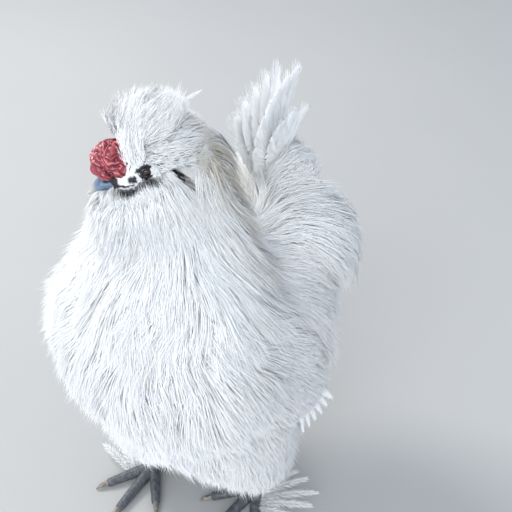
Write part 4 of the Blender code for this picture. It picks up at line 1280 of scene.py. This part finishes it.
def torus_piece(name, grids, paint):
    """Closed rings: the grid wraps both ways."""
    points, faces, first = [], [], 0
    for grid in grids:
        rows, spokes = grid.shape[:2]
        index = first + np.arange(rows * spokes).reshape(rows, spokes)
        down, right = np.roll(index, -1, axis=0), np.roll(index, -1, axis=1)
        both = np.roll(down, -1, axis=1)
        faces.append(np.stack([index, right, both, down], -1).reshape(-1, 4))
        points.append(grid.reshape(-1, 3))
        first += rows * spokes
    return mesh_piece(name, np.concatenate(points), [np.concatenate(faces)], paint)


# half length, half height, height over the ball and thickness of each fold
LID_RINGS = (
    (0.0040, 0.0027, 0.0003, 0.00070),
    (0.0052, 0.0040, 0.0001, 0.00085),
    (0.0061, 0.0046, 0.0000, 0.00070),
)
for word, side in SIDES.items():
    middle, out, along, up = eye_frame(side)
    ball = globe(40, 56)
    ways = ball[..., :1] * along + ball[..., 1:2] * up + ball[..., 2:] * out
    bulge = 1.0 + 0.07 * np.exp(-((np.arccos(np.clip(ball[..., 2:], -1, 1)) / 0.55) ** 2))
    eye = closed_piece(f"eye_{word}_ball", [on_head(middle + ways * EYE_RADIUS * bulge)], EYE)
    dress(eye, "eye", f"eye_{word}")
    rings = enumerate(LID_RINGS, 5)
    grids = [on_head(ring_grid(side, *sizes, n + 3 * side)) for n, sizes in rings]
    dress(torus_piece(f"lids_{word}", grids, FACE), "face_skin", "head")


# %% Comb
COMB = ((0.0, 0.0185, 0.0070), (0.0085, 0.0088, 0.0090), 0.0)
COMB_ROWS = ((-0.30, 7), (0.35, 7), (0.85, 4))
BULB = (0.0040, 0.0040, 0.0036)
FOLD_LENGTH, FOLD_HEIGHT = 0.0023, 0.0008
FURROW_HALF, FURROW_DEPTH, FURROW_FROM = 0.0009, 0.0018, 0.0035
FURROW = np.array(
    [(0.0065, 0.0005), (0.0040, -0.0030), (0.0005, -0.0066), (-0.0030, -0.0082), (-0.0065, -0.0086)]
)


def near_furrow(here):
    """Distance from the furrow that curls over each side, in the (forward, up) plane."""
    flat = here[..., None, 1:]
    one, run = FURROW[:-1], np.diff(FURROW, axis=0)
    share = np.clip(((flat - one) * run).sum(-1) / (run**2).sum(-1), 0.0, 1.0)[..., None]
    return np.linalg.norm(flat - one - run * share, axis=-1).min(-1)


def comb_piece():
    """A cushion of bulbs, a furrow down each side and fine folds that wind over it.

    A fold is 0.5 + 0.5 sin of a phase that climbs along the furrow and is bent by waves.
    """
    place, half, _ = COMB
    bulbs = []
    for row, (height, count) in enumerate(COMB_ROWS):
        turn = 2.0 * math.pi * (np.arange(count) + 0.5 * (row % 2)) / count
        girth = math.sqrt(1.0 - height * height)
        for way in zip(girth * np.sin(turn), girth * np.cos(turn), height + 0.0 * turn):
            spot = np.array(place) + np.array(half) * way
            bulbs.append((tuple(spot), BULB, 0.0))
    forms = head_eggs(COMB, *bulbs)
    grid = star(on_head(place), forms, 150, 210, HEAD_SPIN)
    here = head_local(grid) - place
    climb = 0.75 * here[..., 2] - 0.45 * here[..., 1] + 0.35 * here[..., 0]
    phase = 2.0 * math.pi * climb / FOLD_LENGTH
    fold = 0.5 + 0.5 * np.sin(phase + 1.9 * waves(here, 0.0095, 3) + 0.7 * waves(here, 0.004, 6))
    fold = fold * (0.80 + 0.20 * waves(here, 0.0030, 4))
    furrow = np.exp(-((near_furrow(here) / FURROW_HALF) ** 2))
    furrow = furrow * (np.abs(here[..., 0]) > FURROW_FROM)
    rise = FOLD_HEIGHT * fold - FURROW_DEPTH * furrow - 0.0003
    out = unit(grid - on_head(place))
    piece = closed_piece("comb_walnut", [grid + out * rise[..., None]], COMB_RED)
    # how raised each place is, which the paint turns into painted shade in the folds and painted
    # highlights on their backs
    raised = np.clip(fold - furrow, 0.0, 1.0)
    mean = [raised[:1].mean(keepdims=True)[0], raised.ravel(), raised[-1:].mean(keepdims=True)[0]]
    set_lock(piece, 0.5, np.concatenate(mean), 0.0)
    return dress(piece, "comb", "comb")


comb_piece()

# %% Bill
BEAK_ROOT = (0.0, 0.0182, -0.0068)
BEAK_LENGTH, HOOK = 0.0185, 0.0050
# length, half width, height, way up or down, and how far below the gape a half starts
BILL_HALVES = {
    "upper": (BEAK_LENGTH, 0.0070, 0.0078, 1.0, 0.0),
    "lower": (0.0144, 0.0060, 0.0040, -1.0, 0.0005),
}
NOSTRIL, NOSTRIL_HALF, NOSTRIL_DEPTH = (0.0055, 0.0247, -0.0028), (0.0030, 0.0021, 0.0010), 0.0012
GAPE_LINE = 0.0009


def bill_half(name):
    """Arched sections from root to hooked tip, 0.0 at the root and 1.0 at the tip.

    The width falls as (1 - t^1.7)^0.7, the ridge with it, and the tip bends down by h t^2.4.
    """
    long, wide, high, way, drop = BILL_HALVES[name]
    t, turn = np.linspace(-0.15, 0.985, 60)[:, None], turns(64)[None]
    taper = (1.0 - np.clip(t, 0.0, 1.0) ** 1.7) ** 0.7
    fall = HOOK * (np.clip(t, 0.0, 1.0) * long / BEAK_LENGTH) ** 2.4
    arch = np.where(np.sin(turn) > 0.0, np.sin(turn), -0.12 * np.sin(turn) ** 2)
    left = wide * taper * np.cos(turn)
    up = way * high * taper * arch - fall - drop
    here = np.stack([left, long * t + 0.0 * turn, up], -1) + BEAK_ROOT
    return here, np.clip(t, 0.0, 1.0) + 0.0 * turn


def bill_pieces():
    """Both halves: the upper one has two nostrils pressed in, and painted shade in them and along
    the gape.
    """
    for name in BILL_HALVES:
        upper = name == "upper"
        here, share = bill_half(name)
        pit = 0.0 * share
        for side in (1, -1) if upper else ():
            far = (here - np.array(NOSTRIL) * (side, 1, 1)) / NOSTRIL_HALF
            pit = pit + np.exp(-((far**2).sum(-1)))
        over_gape = here[..., 2] - here[..., 2].min(1, keepdims=True)
        gape = np.clip(1.0 - over_gape / GAPE_LINE, 0.0, 1.0)
        out = unit(here - here.mean(1, keepdims=True))
        grid = on_head(here - out * (NOSTRIL_DEPTH * pit)[..., None])
        piece = closed_piece(f"bill_{name}", [grid if upper else grid[:, ::-1]], BILL)
        # painted shade in the nostril pits and along the gape; the lower half is painted half dark
        # all over
        dark = np.clip(1.4 * pit + (gape if upper else 0.5), 0.0, 1.0)
        share, dark = (
            np.concatenate([part[:1, 0], part.ravel(), part[-1:, 0]]) for part in (share, dark)
        )
        set_lock(piece, 0.5, share, dark)
        dress(piece, "beak", f"beak_{name}")


bill_pieces()

# %% Ear lobes, with a painted shadow along the feathers behind them


def pipe(path, radii, rings, spokes, scale=0.0, pitch=0.0024):
    """A tube on a path that is run through by shares, with scales as small saw-tooth steps."""
    t, knots = np.linspace(0.0, 1.0, rings), np.linspace(0, 1, len(path))
    spots = np.stack([np.interp(t, knots, part) for part in np.array(path).T], -1)
    size = np.interp(t, np.linspace(0, 1, len(radii)), radii)
    way = unit(np.gradient(spots, axis=0))
    side = unit(np.cross(way, (0.0, 0.0, 1.0)) + (1e-6, 0.0, 0.0))
    up = np.cross(side, way)
    turn = turns(spokes)
    length = np.linalg.norm(np.diff(spots, axis=0), axis=1).sum()
    tooth = scale * (1.0 - (t * length / pitch) % 1.0)[:, None] * np.clip(np.sin(turn), 0.0, 1.0)
    ends = np.sqrt(np.clip(1.0 - np.clip((t - 0.93) / 0.07, 0.0, 0.99) ** 2, 0.0, 1.0))
    girth = (size * ends)[:, None] + tooth
    wide = spots[:, None] + side[:, None] * (np.cos(turn) * girth)[..., None]
    return wide + up[:, None] * (np.sin(turn) * girth)[..., None]


LOBE_FORM = ((0.0155, -0.0165, -0.0055), (0.0036, 0.0050, 0.0068), 0.0)
# a thin dark tube in the lobe's paint along the edge of the feathers behind each lobe: painted
# shadow
EDGE_SHADOW = ((0.0160, -0.0155, 0.0056), (0.0168, -0.0203, 0.0040), (0.0172, -0.0190, -0.0026))


for word, side in SIDES.items():
    form = head_eggs(LOBE_FORM, side=side)
    grid = star(form[0][0], form, 50, 70, HEAD_SPIN)
    out = unit(grid - grid.reshape(-1, 3).mean(0))
    grid = grid + out * (0.0004 * waves(head_local(grid), 0.0030, 8))[..., None]
    edge_shadow = on_head(np.array(EDGE_SHADOW) * (side, 1, 1))
    grids = [grid, pipe(edge_shadow, (0.0004, 0.0008, 0.0006), 30, 12)]
    dress(closed_piece(f"lobe_{word}", grids, LOBE), "ear_lobe", f"ear_lobe_{word}")

# %% [markdown]
# ## Feet
# A silkie has five toes, slate dark, with a row of broad scales over each. Each toe is a tube
# along the solid's own line, flat beneath where it stands.

# %% Toes and claws
# degrees out from forward, length and rise of each toe
TOES = {
    "inner": (-42.0, 0.040, 0.0),
    "middle": (-5.0, 0.052, 0.0),
    "outer": (30.0, 0.043, 0.0),
    "hind": (-160.0, 0.026, 0.0),
    "fifth": (-128.0, 0.024, 0.013),
}
TOE_RADII = (0.0052, 0.0046, 0.0040, 0.0033)
CLAW_RADII = (0.0025, 0.0018, 0.0006)


def toe_path(word, toe):
    """The middle line of a toe: along the floor, but the fifth starts 3 mm higher and rises."""
    angle, length, rise = TOES[toe]
    share = np.linspace(0.0, 1.0, 4)
    radii = np.array(TOE_RADII)
    up = radii - 0.0006 + rise * share**1.5 + (0.003 if rise else 0.0)
    start = np.array((*FEET[word], 0.0))
    out = SHIFT + at(start) + toe_way(word, angle) * (length * share)[:, None]
    return out + np.stack([0 * up, 0 * up, up], -1)


for word in SIDES:
    left, forward = FEET[word]
    hock, ankle = (left * 0.97, forward - 0.008, 0.050), (left, forward, 0.0085)
    shank = SHIFT + at(np.array([hock, ankle]))
    grids = [pipe(shank, (0.0056, 0.0060, 0.0066), 60, 40, 0.0003, 0.0036)]
    grids += [pipe(toe_path(word, toe), TOE_RADII, 90, 28, 0.00035) for toe in TOES]
    for grid in grids:
        grid[..., 2] = np.maximum(grid[..., 2], 0.0)
    dress(closed_piece(f"toes_{word}", grids, FOOT), "foot_skin", f"foot_{word}")
    for toe in TOES:
        last, end = toe_path(word, toe)[-2:]
        way = unit(end - last)
        start = end - way * 0.0010
        middle, tip = start + way * 0.0060 + (0, 0, 0.0002), start + way * 0.0105 - (0, 0, 0.0016)
        grid = pipe(np.array([start, middle, tip]), CLAW_RADII, 24, 18)
        grid[..., 2] = np.maximum(grid[..., 2], 0.0)
        dress(closed_piece(f"horn_{word}_{toe}", [grid], CLAW), "claw", f"claw_{word}_{toe}")

# %% [markdown]
# ## Floor, light and camera
# A plain pale floor and a soft studio light from the photo's upper left, a little behind, so that
# the crest, the breast's left edge and the cushion are bright and the neck is in cool shade.

# %% Floor, light and camera


FLOOR_HALF, FLOOR_LEVEL = 4.0, -0.0005


def floor_paint():
    """Pale grey, a little uneven."""
    paint = Paint("studio_floor", Roughness=0.9)
    greys = (0.40, 0.40, 0.40, 1), (0.43, 0.43, 0.42, 1)
    paint.feed("Base Color", paint.mix(paint.noise(3.0), *greys))
    return paint.material


square = ((-1, -1), (1, -1), (1, 1), (-1, 1))
corners = np.array([(x * FLOOR_HALF, y * FLOOR_HALF, FLOOR_LEVEL) for x, y in square])
floor = mesh_piece("floor", corners, [np.array([[0, 1, 2, 3]])], floor_paint(), False)


LIT_PLACE = (0.0, 0.0, 0.18)


def lamp(name, way, far, size, power, colour):
    """A square soft light at a distance along a way, turned to the bird."""
    data = bpy.data.lights.new(name, "AREA")
    data.energy = power
    data.size = size
    data.color = colour
    light = bpy.data.objects.new(name, data)
    bpy.context.scene.collection.objects.link(light)
    aim = Vector(LIT_PLACE)
    light.location = aim + Vector(way).normalized() * far
    light.rotation_euler = (light.location - aim).to_track_quat("Z", "Y").to_euler()


lamp("key", (-0.78, 0.07, 0.80), 2.2, 0.8, 38.0, (1.0, 0.97, 0.92))
lamp("fill", (0.35, -1.0, 0.60), 2.6, 2.4, 62.0, (0.93, 0.97, 1.0))
world = bpy.data.worlds.new("pale_sky")
world.use_nodes = True
world.node_tree.nodes["Background"].inputs["Color"].default_value = (0.80, 0.88, 1.0, 1)
world.node_tree.nodes["Background"].inputs["Strength"].default_value = 0.85
bpy.context.scene.world = world

# the photo's camera as worked out: its place from SHIFT, and the way it looks
CAMERA_PLACE, CAMERA_WAY = (0.295, -0.3415, 0.551), (-0.470, 0.671, -0.574)
camera_data = bpy.data.cameras.new("camera")
camera_data.lens = 56.25
camera_data.sensor_width = 36.0
camera = bpy.data.objects.new("camera", camera_data)
camera.location = Vector(SHIFT) + Vector(CAMERA_PLACE)
camera.rotation_euler = Vector(CAMERA_WAY).to_track_quat("-Z", "Y").to_euler()
bpy.context.scene.collection.objects.link(camera)
bpy.context.scene.camera = camera
bpy.context.scene.view_settings.view_transform = "Standard"
